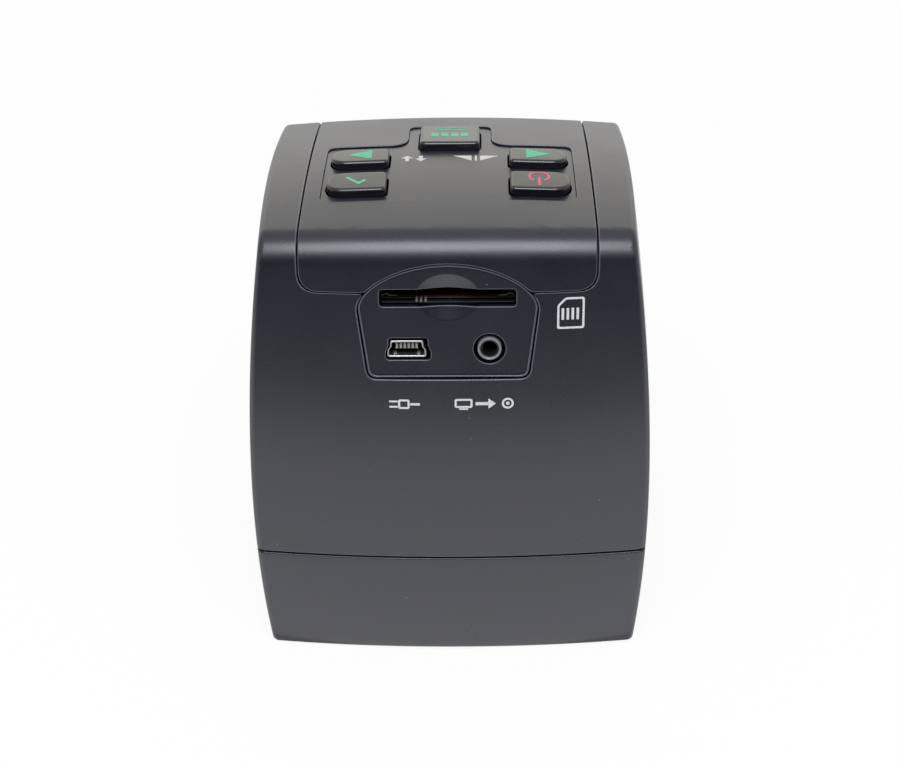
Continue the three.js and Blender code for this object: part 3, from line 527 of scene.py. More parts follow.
def add(tree, kind, inputs=None, **settings):
    """Adds one node. Settings are its own properties. Each input is a value, or an output to link."""
    made = tree.nodes.new("ShaderNode" + kind)
    for key, value in settings.items():
        setattr(made, key, value)
    for key, value in (inputs or {}).items():
        if isinstance(value, bpy.types.NodeSocket):
            tree.links.new(value, made.inputs[key])
        else:
            made.inputs[key].default_value = value
    return made


def moulded_abs(name, dark, tone_mark, roughness, grain_mm, depth_mm):
    """Injection moulded ABS from a spark-eroded tool. The eye gets an even satin black with a fine sparkle,
    slow changes of gloss from the melt's flow, and a few pale specks of dust. Edges marked 1 are painted a
    little paler, partly as rubbed wear and partly as a painted highlight. Inside walls marked -1 get a low
    specular level, which darkens them as painted shade."""
    tree, material = blank(name)
    place = add(tree, "TexCoord").outputs["Object"]
    flow = add(tree, "TexNoise", {"Vector": place, "Scale": 1000 / 14, "Detail": 3.0}).outputs["Fac"]
    grain = add(tree, "TexNoise", {"Vector": place, "Scale": 1000 / grain_mm, "Detail": 2.0,
                                   "Roughness": 0.6}).outputs["Fac"]
    dust = add(tree, "TexVoronoi", {"Vector": place, "Scale": 1000 / 3.4, "Randomness": 1.0})
    speck = add(tree, "MapRange", {"Value": dust.outputs["Distance"], "From Min": 0.03, "From Max": 0.055,
                                   "To Min": 0.5, "To Max": 0.0})
    chance = add(tree, "SeparateColor", {"Color": dust.outputs["Color"]}).outputs["Red"]
    rare = add(tree, "MapRange", {"Value": chance, "From Min": 0.7, "From Max": 0.72})
    motes = add(tree, "Math", {0: speck.outputs["Result"], 1: rare.outputs["Result"]}, operation="MULTIPLY")
    edge = add(tree, "Attribute", attribute_name="edge").outputs["Fac"]
    tone = paint(dark)
    # The last mix paints the marked edges paler: partly rubbed wear, partly a painted highlight.
    for share, colour in ((flow, tone_mark), (grain, tone_mark), (motes.outputs[0], "#8d8d90"), (edge, "#52535b")):
        tone = add(tree, "Mix", {"Factor": share, "A": tone, "B": paint(colour)}, data_type="RGBA").outputs[2]
    # Inside walls get a low specular level, so they render darker: painted shade in slots and recesses.
    matt = add(tree, "MapRange", {"Value": edge, "From Min": -1.0, "From Max": 0.0,
                                  "To Min": 0.08, "To Max": 0.5})
    mixed = add(tree, "Math", {0: flow, 1: grain}, operation="ADD")
    gloss = add(tree, "MapRange", {"Value": mixed.outputs[0], "From Min": 0.7, "From Max": 1.3,
                                   "To Min": roughness - 0.04, "To Max": roughness + 0.04})
    bump = add(tree, "Bump", {"Height": grain, "Strength": 0.7, "Distance": depth_mm / 1000})
    shader = add(tree, "BsdfPrincipled", {
        "Base Color": tone, "Roughness": gloss.outputs["Result"], "IOR": 1.5,
        "Specular IOR Level": matt.outputs["Result"], "Normal": bump.outputs["Normal"]})
    add(tree, "OutputMaterial", {"Surface": shader.outputs[0]})
    return material


def finish_piece(piece, material, slot, body_name, *nodes):
    """Gives a made piece its material and its body, and hides the CAD nodes it stands for. Its slot is not
    used.
    """
    piece.data.materials.clear()
    piece.data.materials.append(material)
    if nodes:
        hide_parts(*nodes)
    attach(piece, body_name)
    return piece


def shell_lip(loop):
    """The size of the shell's rounded edge: 0.3 mm, but 0.1 mm along its level line at the back."""
    off = np.clip((np.abs(loop[:, 2] - LEVEL_LINE) - 0.25) / 1.5, 0, 1)
    at_line = (loop[:, 1] > 0) & (np.abs(loop[:, 0]) < PANEL_HALF - 1)
    return np.where(at_line, 0.1 + 0.2 * off, 0.3)[:, None]


satin_abs = moulded_abs("satin_abs", ABS_BLACK, ABS_WORN, 0.3, 0.3, 0.015)
shell = skin("shell", body, around(body), [shell_outline()], SHELL_WALL, shell_lip)
finish_piece(shell, satin_abs, "case_black", "body", "main_shell")


# TOP PANEL AND KEY FIELD
# A second ABS moulding snaps into the shell from the front edge over the back edge. A field round
# the keys is sunk into it by 0.45 mm, with a hole for each key, and its back edge is notched for the
# recess. Small signs beside the keys are pad printed in white.
PANEL_THICK = 2.2
FIELD_DROP = 0.45
FIELD_HALF, FIELD_REAR, FIELD_WINGS, FIELD_FRONT, NECK_HALF = 26.0, 19.5, -9.0, -23.0, 8.95
KEY_GAP = 0.3
KEY_INNER = 12.6
SCAN_Y, ARROW_PLACE, CORNER_PLACE = -12.8, (18.65, -0.15), (18.75, 12.8)
ARROW_SIZE, CORNER_SIZE = (24.7, 7.7), (24.9, 8.4)
LABEL_Y = -1.6
INK = 0.03
SIGN_STEP, SIGN_CELL, SIGN_CLEAR = 0.12, 0.35, 0.08


def rounded(corners):
    """A closed outline through corners of x, y and size, each turned by a curve of the second degree."""
    points, parts = np.array([c[:2] for c in corners], float), []
    for i, (x, y, size) in enumerate(corners):
        here = points[i]
        before, after = points[i - 1] - here, points[(i + 1) % len(points)] - here
        start = here + before * size / np.linalg.norm(before)
        end = here + after * size / np.linalg.norm(after)
        if parts:
            parts.append(line(parts[-1][-1], start, 80))
        parts.append(bend(start, here, end))
    parts.append(line(parts[-1][-1], parts[0][0], 80))
    return np.concatenate(parts)


def box_outline(x, y, width, height, size):
    """A box round a middle, with corners turned over a size."""
    a, b = width / 2, height / 2
    return rounded([(x - a, y - b, size), (x + a, y - b, size), (x + a, y + b, size), (x - a, y + b, size)])


def scan_key_outline(grow):
    """The front key: a square with small rounds."""
    return box_outline(0, 0, 12.9 + 2 * grow, 12.8 + 2 * grow, 1.4)


def side_key_outline(side, size):
    """A side key, for any growth: nearly square towards the middle and a round nose towards the edge."""
    def outline(grow):
        x, y = side * ((size[0] - KEY_INNER) / 2 + grow), size[1] / 2 + grow
        return rounded([(-x, -y, 1.2), (x, -y, y * 0.96), (x, y, y * 0.96), (-x, y, 1.2)])
    return outline


def key_frame(x, y):
    """A key's own frame on the top: its place, and its three directions as columns. It leans with
    the top's fall to the front and then with its fall to the side."""
    fall, tilt = math.atan((CREST_Y - y) / CREST_RADIUS), math.atan(2 * CROWN * x / CROWN_HALF**2)
    lean = np.array([[1, 0, 0], [0, math.cos(fall), -math.sin(fall)], [0, math.sin(fall), math.cos(fall)]])
    roll = np.array([[math.cos(tilt), 0, math.sin(tilt)], [0, 1, 0], [-math.sin(tilt), 0, math.cos(tilt)]])
    return np.array([x, y, float(crest_at(x, y))]), lean @ roll


KEYS = {"scan": (key_frame(0, SCAN_Y), scan_key_outline)}
for key_name, side, (x, y), size in (
        ("left", -1, ARROW_PLACE, ARROW_SIZE), ("right", 1, ARROW_PLACE, ARROW_SIZE),
        ("power", -1, CORNER_PLACE, CORNER_SIZE), ("confirm", 1, CORNER_PLACE, CORNER_SIZE)):
    KEYS[key_name] = key_frame(side * x, y), side_key_outline(side, size)


def from_frame(key_place, local):
    """Places in a key's frame as places in the part's frame."""
    place, turn = key_place
    return place + local @ turn.T


def on_top(xy, form=body):
    """Places on the top of a form, from their x and y."""
    start = np.stack([xy[..., 0], xy[..., 1], np.full(xy.shape[:-1], HEART[2])], -1)
    return cast(form, start, (0, 0, 1))


def panel_outline():
    """The top panel's edge: its low front edge with round corners, both long sides over the top, and
    its back edge, which rises round the recess."""
    start = PANEL_LINE + PANEL_CORNER
    corner = panel_corner(PANEL_HALF, start, PANEL_LINE)
    front = on_face(np.concatenate([line((0, PANEL_LINE), corner[-1], 60), corner[::-1]]), -1)
    port = on_port_wall(port_outline(PORT_GAP))
    port = port[(port[:, 0] >= 0) & (port[:, 2] > PANEL_LINE)]
    port = port[np.argsort(-port[:, 0])]
    rear = on_face(np.concatenate([corner, line(corner[-1], (port[0, 0], PANEL_LINE), 60)]), 1)
    half = np.concatenate([front, over_top(PANEL_HALF, start), rear, port])
    return np.concatenate([half, half[::-1] * (-1, 1, 1)])


def field_form(p):
    """The pillow drawn in by the depth of the key field."""
    return body(p) + FIELD_DROP


def from_above(p):
    """Places seen from above: their x and y."""
    return p[..., :2]


def on_field(xy):
    """Places on the key field, from their x and y."""
    return on_top(xy, field_form)


field_outline = rounded([
    (-NECK_HALF, FIELD_FRONT, 2), (NECK_HALF, FIELD_FRONT, 2),
    (NECK_HALF, FIELD_WINGS, 4.2), (FIELD_HALF, FIELD_WINGS, 2),
    (FIELD_HALF, FIELD_REAR, 2), (-FIELD_HALF, FIELD_REAR, 2),
    (-FIELD_HALF, FIELD_WINGS, 2), (-NECK_HALF, FIELD_WINGS, 4.2)])
panel_edges = [panel_outline(), on_top(field_outline)]
top_panel = skin("top_panel_skin", body, around(body), panel_edges, PANEL_THICK, 0.22)
finish_piece(top_panel, satin_abs, "case_black", "body", "top_panel")

key_holes = []
for key_place, outline_of in KEYS.values():
    hole = outline_of(KEY_GAP)
    low = from_frame(key_place, np.column_stack([hole, np.zeros(len(hole))]))
    up = key_place[1][:, 2]
    key_holes.append(cast(field_form, low - up * 8, up))
field = skin("top_panel_field", field_form, (from_above, on_field), [on_field(field_outline)] + key_holes,
             PANEL_THICK - FIELD_DROP, 0.12, step=0.3, cell=2.0, ease=2)
finish_piece(field, satin_abs, "case_black", "body", "top_panel")


def pad_print(name, ink, edge_wear):
    """Ink laid by a silicone pad, about 0.03 mm thick. The eye gets a flat, slightly chalky colour
    whose cover thins in places, as the ink is over a textured black."""
    tree, material = blank(name)
    place = add(tree, "TexCoord").outputs["Object"]
    cover = add(tree, "TexNoise", {"Vector": place, "Scale": 1000 / 0.35, "Detail": 2.0}).outputs["Fac"]
    thin = add(tree, "MapRange", {"Value": cover, "From Min": 0.3, "From Max": 0.5,
                                  "To Min": edge_wear, "To Max": 0.0})
    tone = add(tree, "Mix", {"Factor": thin.outputs["Result"], "A": paint(ink), "B": paint(ABS_WORN)},
               data_type="RGBA")
    bump = add(tree, "Bump", {"Height": cover, "Strength": 0.3, "Distance": 0.00001})
    shader = add(tree, "BsdfPrincipled", {"Base Color": tone.outputs[2], "Roughness": 0.55,
                                          "Normal": bump.outputs["Normal"]})
    add(tree, "OutputMaterial", {"Surface": shader.outputs[0]})
    return material


def stroke(points, width):
    """The outline of an open bent line of one width: its points moved to both sides, and square ends."""
    p = np.asarray(points, float)
    way = np.diff(p, axis=0)
    way /= np.linalg.norm(way, axis=1, keepdims=True)
    side = np.stack([-way[:, 1], way[:, 0]], -1)
    joint = (side[:-1] + side[1:]) / 2
    joint /= (joint**2).sum(1, keepdims=True)
    side = np.concatenate([side[:1], joint, side[-1:]]) * width / 2
    return np.concatenate([p + side, (p - side)[::-1]])


def arc_line(x, y, size, start, end, count=40):
    """Points on a circle round a middle, from one angle to another, in degrees."""
    angle = np.radians(np.linspace(start, end, count))
    return np.stack([x + size * np.cos(angle), y + size * np.sin(angle)], -1)


def circle(x, y, size, count=72):
    """A round outline: that circle without its last point, which is its first again."""
    return arc_line(x, y, size, 0, 360, count + 1)[:-1]


def ring(x, y, size, width):
    """A round line: its outer and its inner circle."""
    return [circle(x, y, size + width / 2, 39), circle(x, y, size - width / 2, 39)]


def box_line(left, low, right, high, width, size):
    """A frame of one width with round corners: its outer and its inner outline."""
    x, y, wide, tall = (left + right) / 2, (low + high) / 2, right - left, high - low
    return [box_outline(x, y, wide + w, tall + w, max(size + w / 2, 0.05)) for w in (width, -width)]


def bar(left, low, right, high):
    """A filled box."""
    return np.array([(left, low), (right, low), (right, high), (left, high)], float)


def printed(name, shapes, onto, form, ink, body_name):
    """A sign in ink: flat outlines put on a form's surface, as a thin sheet half sunk into it."""
    loops = [even(np.asarray(shape, float), SIGN_STEP) for shape in shapes]
    edge = np.concatenate(loops)
    grid = np.meshgrid(*(np.arange(edge[:, i].min(), edge[:, i].max(), SIGN_CELL) for i in range(2)))
    places = np.stack([g.ravel() for g in grid], -1)
    places = places[in_area(loops, places)]
    places = places[clear_of(edge, places, SIGN_CLEAR)] if len(places) else places
    flat, triangles = cut(loops, places)
    surface = onto(flat)
    normals = facing(form, surface)
    count = len(flat)
    points = np.concatenate([surface + normals * INK, surface - normals * INK])
    faces = [triangles, triangles[:, ::-1] + count]
    way = np.cross(*(surface[triangles[0, i]] - surface[triangles[0, 0]] for i in (1, 2)))
    if way @ normals[triangles[0, 0]] < 0:
        faces = [f[:, ::-1] for f in faces]
    pairs = np.concatenate([faces[0][:, [i, (i + 1) % 3]] for i in range(3)])
    known = {(a, b) for a, b in pairs.tolist()}
    rim = np.array([(a, b) for a, b in known if (b, a) not in known])
    walls = np.stack([rim[:, 1], rim[:, 0], rim[:, 0] + count, rim[:, 1] + count], -1)
    made = to_object(name, points, faces[0].tolist() + faces[1].tolist() + walls.tolist())
    return finish_piece(made, ink, None, body_name)


white_ink = pad_print("pad_print_white", "#c9c9c6", 0.25)
low, high = LABEL_Y - 1.4, LABEL_Y + 1.4
mirror_sign = [stroke([(-5.6, LABEL_Y - 1.5), (-5.6, LABEL_Y + 1.5)], 0.42),
               [(-6.5, low), (-10.4, low), (-6.5, high)], [(-4.7, low), (-4.7, high), (-0.8, low)]]
ARROW = ((-1.3, 0.1), (0, 1.6), (1.3, 0.1), (0.4, 0.1), (0.4, -1.5), (-0.4, -1.5), (-0.4, 0.1))
flip_sign = [[(x + across, LABEL_Y + way * up) for across, up in ARROW] for x, way in ((6.0, 1), (8.9, -1))]
printed("mirror_sign", mirror_sign, on_field, field_form, white_ink, "body")
printed("flip_sign", flip_sign, on_field, field_form, white_ink, "body")


# KEYS
# Five ABS caps with polished edges rise 1.3 mm above the top panel. Each has a lip under the panel that
# keeps it in, and a stem over its switch, so it moves by itself. Their signs are printed in green or red.
KEY_RISE = 1.3
KEY_EDGE = 0.75
KEY_DISH = 0.05
LIP_DEPTH = 3.4
STEM = 1.4
STEM_GAP = 0.3


def at_height(outline, height):
    """A flat outline as a level ring in a key's own frame."""
    return np.column_stack([outline, np.full(len(outline), height)])


def key_cap(name, key_place, outline_of):
    """A cap: its outline carried down a profile. The profile starts in the middle of the top, falls
    by the square of the way out to the edge, turns down through a quarter circle, runs down the side,
    steps out to the lip, and closes under it with a stem."""
    rim = eased(even(outline_of(0), 0.28), 2)
    if turning(rim) < 0:
        rim = rim[::-1]
    ahead = np.roll(rim, -1, 0) - np.roll(rim, 1, 0)
    out = np.stack([ahead[:, 1], -ahead[:, 0]], -1) / np.linalg.norm(ahead, axis=1, keepdims=True)
    flat_rim, count = rim - out * KEY_EDGE, len(rim)
    rings = [at_height(flat_rim * share, KEY_RISE - KEY_DISH * share**2)
             for share in (0.02, 0.25, 0.5, 0.75, 0.92, 1.0)]
    for angle in np.radians([12, 25, 40, 55, 70, 83, 90]):
        drop = KEY_DISH + KEY_EDGE * (1 - math.cos(angle))
        rings.append(at_height(flat_rim + out * KEY_EDGE * math.sin(angle), KEY_RISE - drop))
    for grow, height in ((0, -0.2), (0, -1.2), (0, -2.5), (1, -2.5), (1, -LIP_DEPTH), (-2, -LIP_DEPTH)):
        rings.append(at_height(rim + out * grow, height))
    turn = np.linspace(0, 2 * math.pi, count, endpoint=False) + math.atan2(rim[0, 1], rim[0, 0])
    post = np.stack([np.cos(turn), np.sin(turn)], -1)
    foot = STEM_GAP - (key_place[0][2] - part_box(name)[0].z * 1000) / key_place[1][2, 2]
    for size, height in ((STEM, -LIP_DEPTH), (STEM, foot + 0.2), (STEM - 0.2, foot), (0.1, foot)):
        rings.append(at_height(post * size, height))
    bands = [band_faces(count * i, count * (i + 1), count)[:, ::-1] for i in range(len(rings) - 1)]
    faces = np.concatenate(bands).tolist()
    total = count * len(rings)
    faces += [list(range(count)), list(range(total - 1, total - count - 1, -1))]
    return to_object(name + "_cap", from_frame(key_place, np.concatenate(rings)), faces, corner=40)


def key_top(key_place):
    """The map from a flat sign on a key to the key's top."""
    return lambda flat: from_frame(key_place, at_height(flat, KEY_RISE))


def above_key(key_place):
    """A form whose surface is the plane of a key's top."""
    place, turn = key_place
    return lambda p: (p - place) @ turn[:, 2] - KEY_RISE


key_abs = moulded_abs("semi_gloss_abs", "#0b0b0e", "#141419", 0.2, 0.4, 0.015)
for key_name, (key_place, outline_of) in KEYS.items():
    cap = key_cap("key_" + key_name, key_place, outline_of)
    finish_piece(cap, key_abs, "key_black", key_name + "_key", "key_" + key_name)

green_ink = pad_print("pad_print_green", "#4fb38a", 0.2)
red_ink = pad_print("pad_print_red", "#c4606c", 0.2)
KEY_SIGNS = {
    "left": [[(-2.6, 0.0), (2.5, 2.5), (2.5, -2.6)]],
    "right": [[(2.6, 0.0), (-2.5, 2.5), (-2.5, -2.6)]],
    "power": [stroke(arc_line(0.25, -1.15, 2.0, 120, 420), 0.55), stroke([(0.25, -0.9), (0.25, 2.9)], 0.55)],
    "confirm": [stroke([(-1.9, 0.0), (-0.6, 1.5), (2.1, -1.5)], 0.75)],
    "scan": [bar(x - 0.75, -0.1, x + 0.75, 2.5) for x in (-3.15, -1.05, 1.05, 3.15)]
            + [bar(-3.2, -2.75, 3.2, -2.2), bar(-3.2, -3.9, 3.2, -3.35)]}
for key_name, sign in KEY_SIGNS.items():
    key_place = KEYS[key_name][0]
    ink = red_ink if key_name == "power" else green_ink
    printed(key_name + "_sign", sign, key_top(key_place), above_key(key_place), ink, key_name + "_key")


# PORT PANEL
# An ABS plate is pressed into the recess from inside, a little below the wall. It has a slot for a
# memory card, with a finger scoop across it, and openings for a USB plug and a round video plug.
PLATE_DEPTH = 1.1
PLATE_WALL = 3.2
SLOT_RISE = 6.87
SOCKET_RISE = -3.95
USB_X, JACK_X = 7.98, -8.25
JACK_HOLE = 3.22
SCOOP_HALF, SCOOP_TALL, SCOOP_DEPTH, SCOOP_RISE = 6.4, 4.85, 1.7, SLOT_RISE + 0.2


def plate_form(p):
    """The plate's face: a plane below the wall, less a hollow on an ellipse whose depth falls evenly
    from its middle to its rim, as a cone's does. The slot takes away the middle."""
    q = p - PORT_ORIGIN
    out = (q[..., 0] / SCOOP_HALF) ** 2 + ((q @ PORT_UP - SCOOP_RISE) / SCOOP_TALL) ** 2
    return q @ PORT_OUT + PLATE_DEPTH + SCOOP_DEPTH * np.maximum(1 - out**0.5, 0)


def on_plate(outline):
    """An outline in the recess's frame, put on the plate."""
    return cast(plate_form, in_port(outline[:, 0], RAY_START, outline[:, 1]), PORT_OUT)


def usb_outline(grow):
    """The USB socket: wide at its foot, with shoulders that step in to a narrower top."""
    wide, narrow, low, high = 3.93 + grow, 3.38 + grow, -1.8 - grow, 1.8 + grow
    waist = low + (high - low) * 0.45
    right = [(wide, low, 0.5), (wide, waist, 0.4), (narrow, waist + 0.55, 0.4), (narrow, high, 0.5)]
    return rounded(right + [(-x, y, size) for x, y, size in reversed(right)])


def usb_hole(grow):
    """The USB socket's outline at its hole's place."""
    return usb_outline(grow) + (USB_X, SOCKET_RISE)


def jack_hole(radius):
    """A circle round the video jack's hole."""
    return circle(JACK_X, SOCKET_RISE, radius, 89)


def slot_box(width, height, size):
    """A box round the slot's middle, for any growth."""
    return lambda grow: box_outline(0, SLOT_RISE, width + 2 * grow, height + 2 * grow, size)


socket_chart = seen_from(plate_form, (-1, 0, 0), PORT_UP, PORT_OUT, PORT_ORIGIN, 6.0)
turn = np.linspace(0, 2 * math.pi, 200, endpoint=False)
scoop_edge = np.stack([SCOOP_HALF * np.cos(turn), SCOOP_RISE + SCOOP_TALL * np.sin(turn)], -1)
openings = [on_plate(outline) for outline in
            (port_outline(0), slot_box(27.1, 3.6, 0.6)(0), usb_hole(0.55), jack_hole(JACK_HOLE))]
plate = skin("port_plate", plate_form, socket_chart, openings, PLATE_WALL, 0.2,
             step=0.25, cell=1.6, ease=2, creases=[on_plate(scoop_edge)])
finish_piece(plate, satin_abs, "case_black", "body", "port_panel")


# CARD SOCKET
# Behind the slot is a black moulded socket with a red-brown floor and a steel sill. Two bent leaf
# springs at its ends steady the card, and a row of sprung contacts reads it.
def tube(name, rings, closed=False):
    """A skin over rings of equal count, each ring joined to the next. It is closed at both ends by a
    flat face, or joined end to end."""
    count = len(rings[0])
    pairs = [(i, i + 1) for i in range(len(rings) - 1)] + ([(len(rings) - 1, 0)] if closed else [])
    faces = np.concatenate([band_faces(count * a, count * b, count) for a, b in pairs]).tolist()
    if not closed:
        last = count * (len(rings) - 1)
        faces += [list(range(count))[::-1], list(range(last, last + count))]
    points = np.concatenate(rings)
    made = to_object(name, points, faces)
    corners = [points[[f[0], f[i], f[i + 1]]] for f in faces for i in range(1, len(f) - 1)]
    if np.linalg.det(np.array(corners)).sum() < 0:
        made.data.flip_normals()
    return made


def port_ring(outline, out):
    """An outline in the recess's frame at one depth."""
    return in_port(outline[:, 0], float(out), outline[:, 1])


def sleeve(name, outline_of, wall, front, length, floor):
    """A sleeve along the recess's axis: outside from its back to its front, round the front edge in a
    half circle, inside to a floor, and closed behind."""
    half = wall / 2
    rings = [port_ring(outline_of(0), front - length), port_ring(outline_of(0), front - half)]
    for angle in np.radians([30, 60, 90, 120, 150]):
        grown = outline_of(-half * (1 - math.cos(angle)))
        rings.append(port_ring(grown, front - half * (1 - math.sin(angle))))
    rings += [port_ring(outline_of(-wall), front - half), port_ring(outline_of(-wall), front - floor)]
    return tube(name, rings)


def tinned_steel(name, tone, roughness, brush_mm):
    """Thin steel sheet with bright tin over it, punched and bent. The eye gets a soft white metal with
    faint rolling lines and slightly uneven gloss."""
    tree, material = blank(name)
    place = add(tree, "TexCoord").outputs["Object"]
    fine = 1000 / brush_mm
    rolled = add(tree, "Mapping", {"Vector": place, "Scale": (fine / 10, fine, fine)})
    lines = add(tree, "TexNoise", {"Vector": rolled.outputs[0], "Scale": 1.0, "Detail": 2.0}).outputs["Fac"]
    gloss = add(tree, "MapRange", {"Value": lines, "To Min": roughness - 0.08, "To Max": roughness + 0.08})
    bump = add(tree, "Bump", {"Height": lines, "Strength": 0.25, "Distance": 0.00002})
    shader = add(tree, "BsdfPrincipled", {
        "Base Color": paint(tone), "Metallic": 1.0, "Roughness": gloss.outputs["Result"],
        "Normal": bump.outputs["Normal"]})
    add(tree, "OutputMaterial", {"Surface": shader.outputs[0]})
    return material


def frame_ring(name, outer, inner, front, back, tone_mark=-1.0, lip=0.08):
    """A flat frame from a back to a front depth. Each of its two sides is an outline and its growth.
    Its front edges are cut by a small slope. Its front is painted pale when the mark given after its back is
    1, partly as rubbed wear and partly as a painted highlight; its other faces, and its front when that mark
    is -1, get a low specular level, which darkens them as painted shade."""
    (outer_of, out), (inner_of, into) = outer, inner
    outlines = [(outer_of(out), back), (outer_of(out), front - lip), (outer_of(out - lip), front),
                (inner_of(into + lip), front), (inner_of(into), front - lip), (inner_of(into), back)]
    rings = [port_ring(outline, depth) for outline, depth in outlines]
    made = tube(name, rings, closed=True)
    mark_edges(made, np.repeat([-1.0, tone_mark, tone_mark, tone_mark, tone_mark, -1], len(rings[0])))
    return finish_piece(made, satin_abs, "case_black", "body")


# The plate's border is a raised bead, whose front is painted pale, partly as rubbed wear and partly as a
# painted highlight. Behind the plate, a flange closes the gap to the shell, and three collars close the gaps
# round the sockets; they and the bead's other faces get a low specular level that darkens them as painted
# shade.
COLLAR_FRONT, COLLAR_BACK, SOCKET_FRONT = -4.1, -4.9, -4.75
frame_ring("port_bead", (port_outline, -0.1), (port_outline, -0.42), -0.72, -1.6, 1.0)
frame_ring("port_flange", (port_outline, 1.7), (port_outline, -0.6), COLLAR_FRONT, COLLAR_BACK)
frame_ring("usb_collar", (usb_hole, 1.2), (usb_hole, 0.04), COLLAR_FRONT, COLLAR_BACK)
frame_ring("jack_collar", (jack_hole, 3.9), (jack_hole, 2.56), COLLAR_FRONT, COLLAR_BACK)
frame_ring("card_collar", (slot_box(29, 5.4, 0.5), 0), (slot_box(27.1, 3.2, 0.5), 0),
           COLLAR_FRONT, SOCKET_FRONT)
tin = tinned_steel("tinned_steel", "#b6b6b4", 0.36, 0.2)
inner_abs = moulded_abs("plain_inner_abs", "#0b0b0c", "#141416", 0.45, 0.4, 0.01)
case = sleeve("card_socket_case", slot_box(27.6, 3.0, 0.3), 0.45, SOCKET_FRONT, 26, 24)
finish_piece(case, inner_abs, "inner_black", "body", "card_socket")


def strip(name, path, width, thickness, along):
    """A bent strip of sheet: a thin box section carried along a path, with its width along one
    direction. The section's other side is square to the path."""
    path, along = np.asarray(path, float), np.asarray(along, float)
    up = np.cross(along, np.gradient(path, axis=0))
    up /= np.linalg.norm(up, axis=1, keepdims=True)
    corner = np.array([(-0.5, -0.5), (0.5, -0.5), (0.5, 0.5), (-0.5, 0.5)])
    wide = corner[:, :1] * width * along
    return tube(name, [place + wide + corner[:, 1:] * thickness * lift for place, lift in zip(path, up)])


def plated(name):
    """Copper alloy contacts, plated and used. The eye gets a pale grey, slightly warm, soft metal."""
    tree, material = blank(name)
    place = add(tree, "TexCoord").outputs["Object"]
    tone_mark = add(tree, "TexNoise", {"Vector": place, "Scale": 1000 / 0.5, "Detail": 2.0})
    tone = add(tree, "Mix", {"Factor": tone_mark.outputs["Fac"], "A": paint("#bdbbb6"), "B": paint("#97938b")},
               data_type="RGBA")
    shader = add(tree, "BsdfPrincipled", {"Base Color": tone.outputs[2], "Metallic": 0.5, "Roughness": 0.4})
    add(tree, "OutputMaterial", {"Surface": shader.outputs[0]})
    return material


contact_metal = plated("plated_contact")
dull = tinned_steel("dull_steel", "#98928c", 0.45, 0.3)
phenolic = moulded_abs("red_brown_phenolic", "#3c0f0e", "#571a17", 0.4, 0.3, 0.01)
t = np.linspace(0, 1, 16)
dip = 0.42 * np.sin(math.pi * np.clip(t * 1.6, 0, 1)) ** 2
for side, hand in ((-1, "left"), (1, "right")):
    leaf = in_port(side * (13.3 - 3.1 * t), SOCKET_FRONT + 0.55, SLOT_RISE - 0.35 + dip)
    finish_piece(strip("card_spring_" + hand, leaf, 0.9, 0.16, PORT_OUT), dull, "socket_metal", "body")
sill = in_port(np.linspace(-13.1, 13.1, 30), -3.4, SLOT_RISE - 1.6)
finish_piece(strip("card_socket_sill", sill, 0.25, 0.12, PORT_OUT), dull, "socket_metal", "body")
bed = in_port(np.linspace(-13.2, 13.2, 30), SOCKET_FRONT - 4.2, SLOT_RISE - 0.93)
finish_piece(strip("card_socket_floor", bed, 8.0, 0.1, PORT_OUT), phenolic, "socket_metal", "body")
t = np.linspace(0, 1, 8)
for i in (1, 2, 3):
    path = in_port(7.1 - 0.9 * i, -3.3 - 3 * t, SLOT_RISE - 1.5 + 0.45 * np.sin(math.pi * t))
    contact = strip(f"card_contact_{i}", path, 0.42, 0.25, (1, 0, 0))
    finish_piece(contact, contact_metal, "socket_metal", "body")


# USB SOCKET
# A tinned shell, bent to the shape of a small USB plug, stands back in its opening. A black
# tongue inside it carries six plated contacts, and two small springs at its foot hold the plug.
USB_FRONT = -1.35
USB_SHELL_X, USB_SHELL_RISE = USB_X + 0.3, SOCKET_RISE - 0.05
TONGUE_RISE = USB_SHELL_RISE + 0.3
usb_shell = sleeve("usb_socket_shell", lambda grow: usb_outline(grow) + (USB_SHELL_X, USB_SHELL_RISE),
                   0.38, USB_FRONT, 9.2, 9.0)
finish_piece(usb_shell, tin, "socket_metal", "body", "usb_shell")
tongue_rings = []
for out, grow in ((-6.8, 0), (-1.05, 0), (-0.92, -0.09), (-0.88, -0.2)):
    section = box_outline(USB_SHELL_X, TONGUE_RISE, 4.6 + 2 * grow, 1.15 + 2 * grow, 0.15)
    tongue_rings.append(port_ring(section, USB_FRONT + out))
finish_piece(tube("usb_tongue_block", tongue_rings), inner_abs, "inner_black", "body", "usb_tongue")
finger_out = USB_FRONT + np.array([-4.2, -1.4, -0.95, -0.84, -0.84, -1.0])
finger_rise = TONGUE_RISE + np.array([0.64, 0.64, 0.58, 0.35, -0.3, -0.5])
for i in range(6):
    path = in_port(USB_SHELL_X + 0.79 * (i - 2.5), finger_out, finger_rise)
    finger = strip(f"usb_contact_{i + 1}", path, 0.42, 0.1, (1, 0, 0))
    finish_piece(finger, contact_metal, "socket_metal", "body")
t = np.linspace(0, 1, 10)
for side, hand in ((-1, "left"), (1, "right")):
    rise = USB_SHELL_RISE - 1.42 + 0.42 * np.sin(math.pi * t)
    path = in_port(USB_SHELL_X + side * 2.35, USB_FRONT - 0.7 - 2.2 * t, rise)
    finish_piece(strip("usb_spring_" + hand, path, 0.6, 0.12, (1, 0, 0)), tin, "socket_metal", "body")


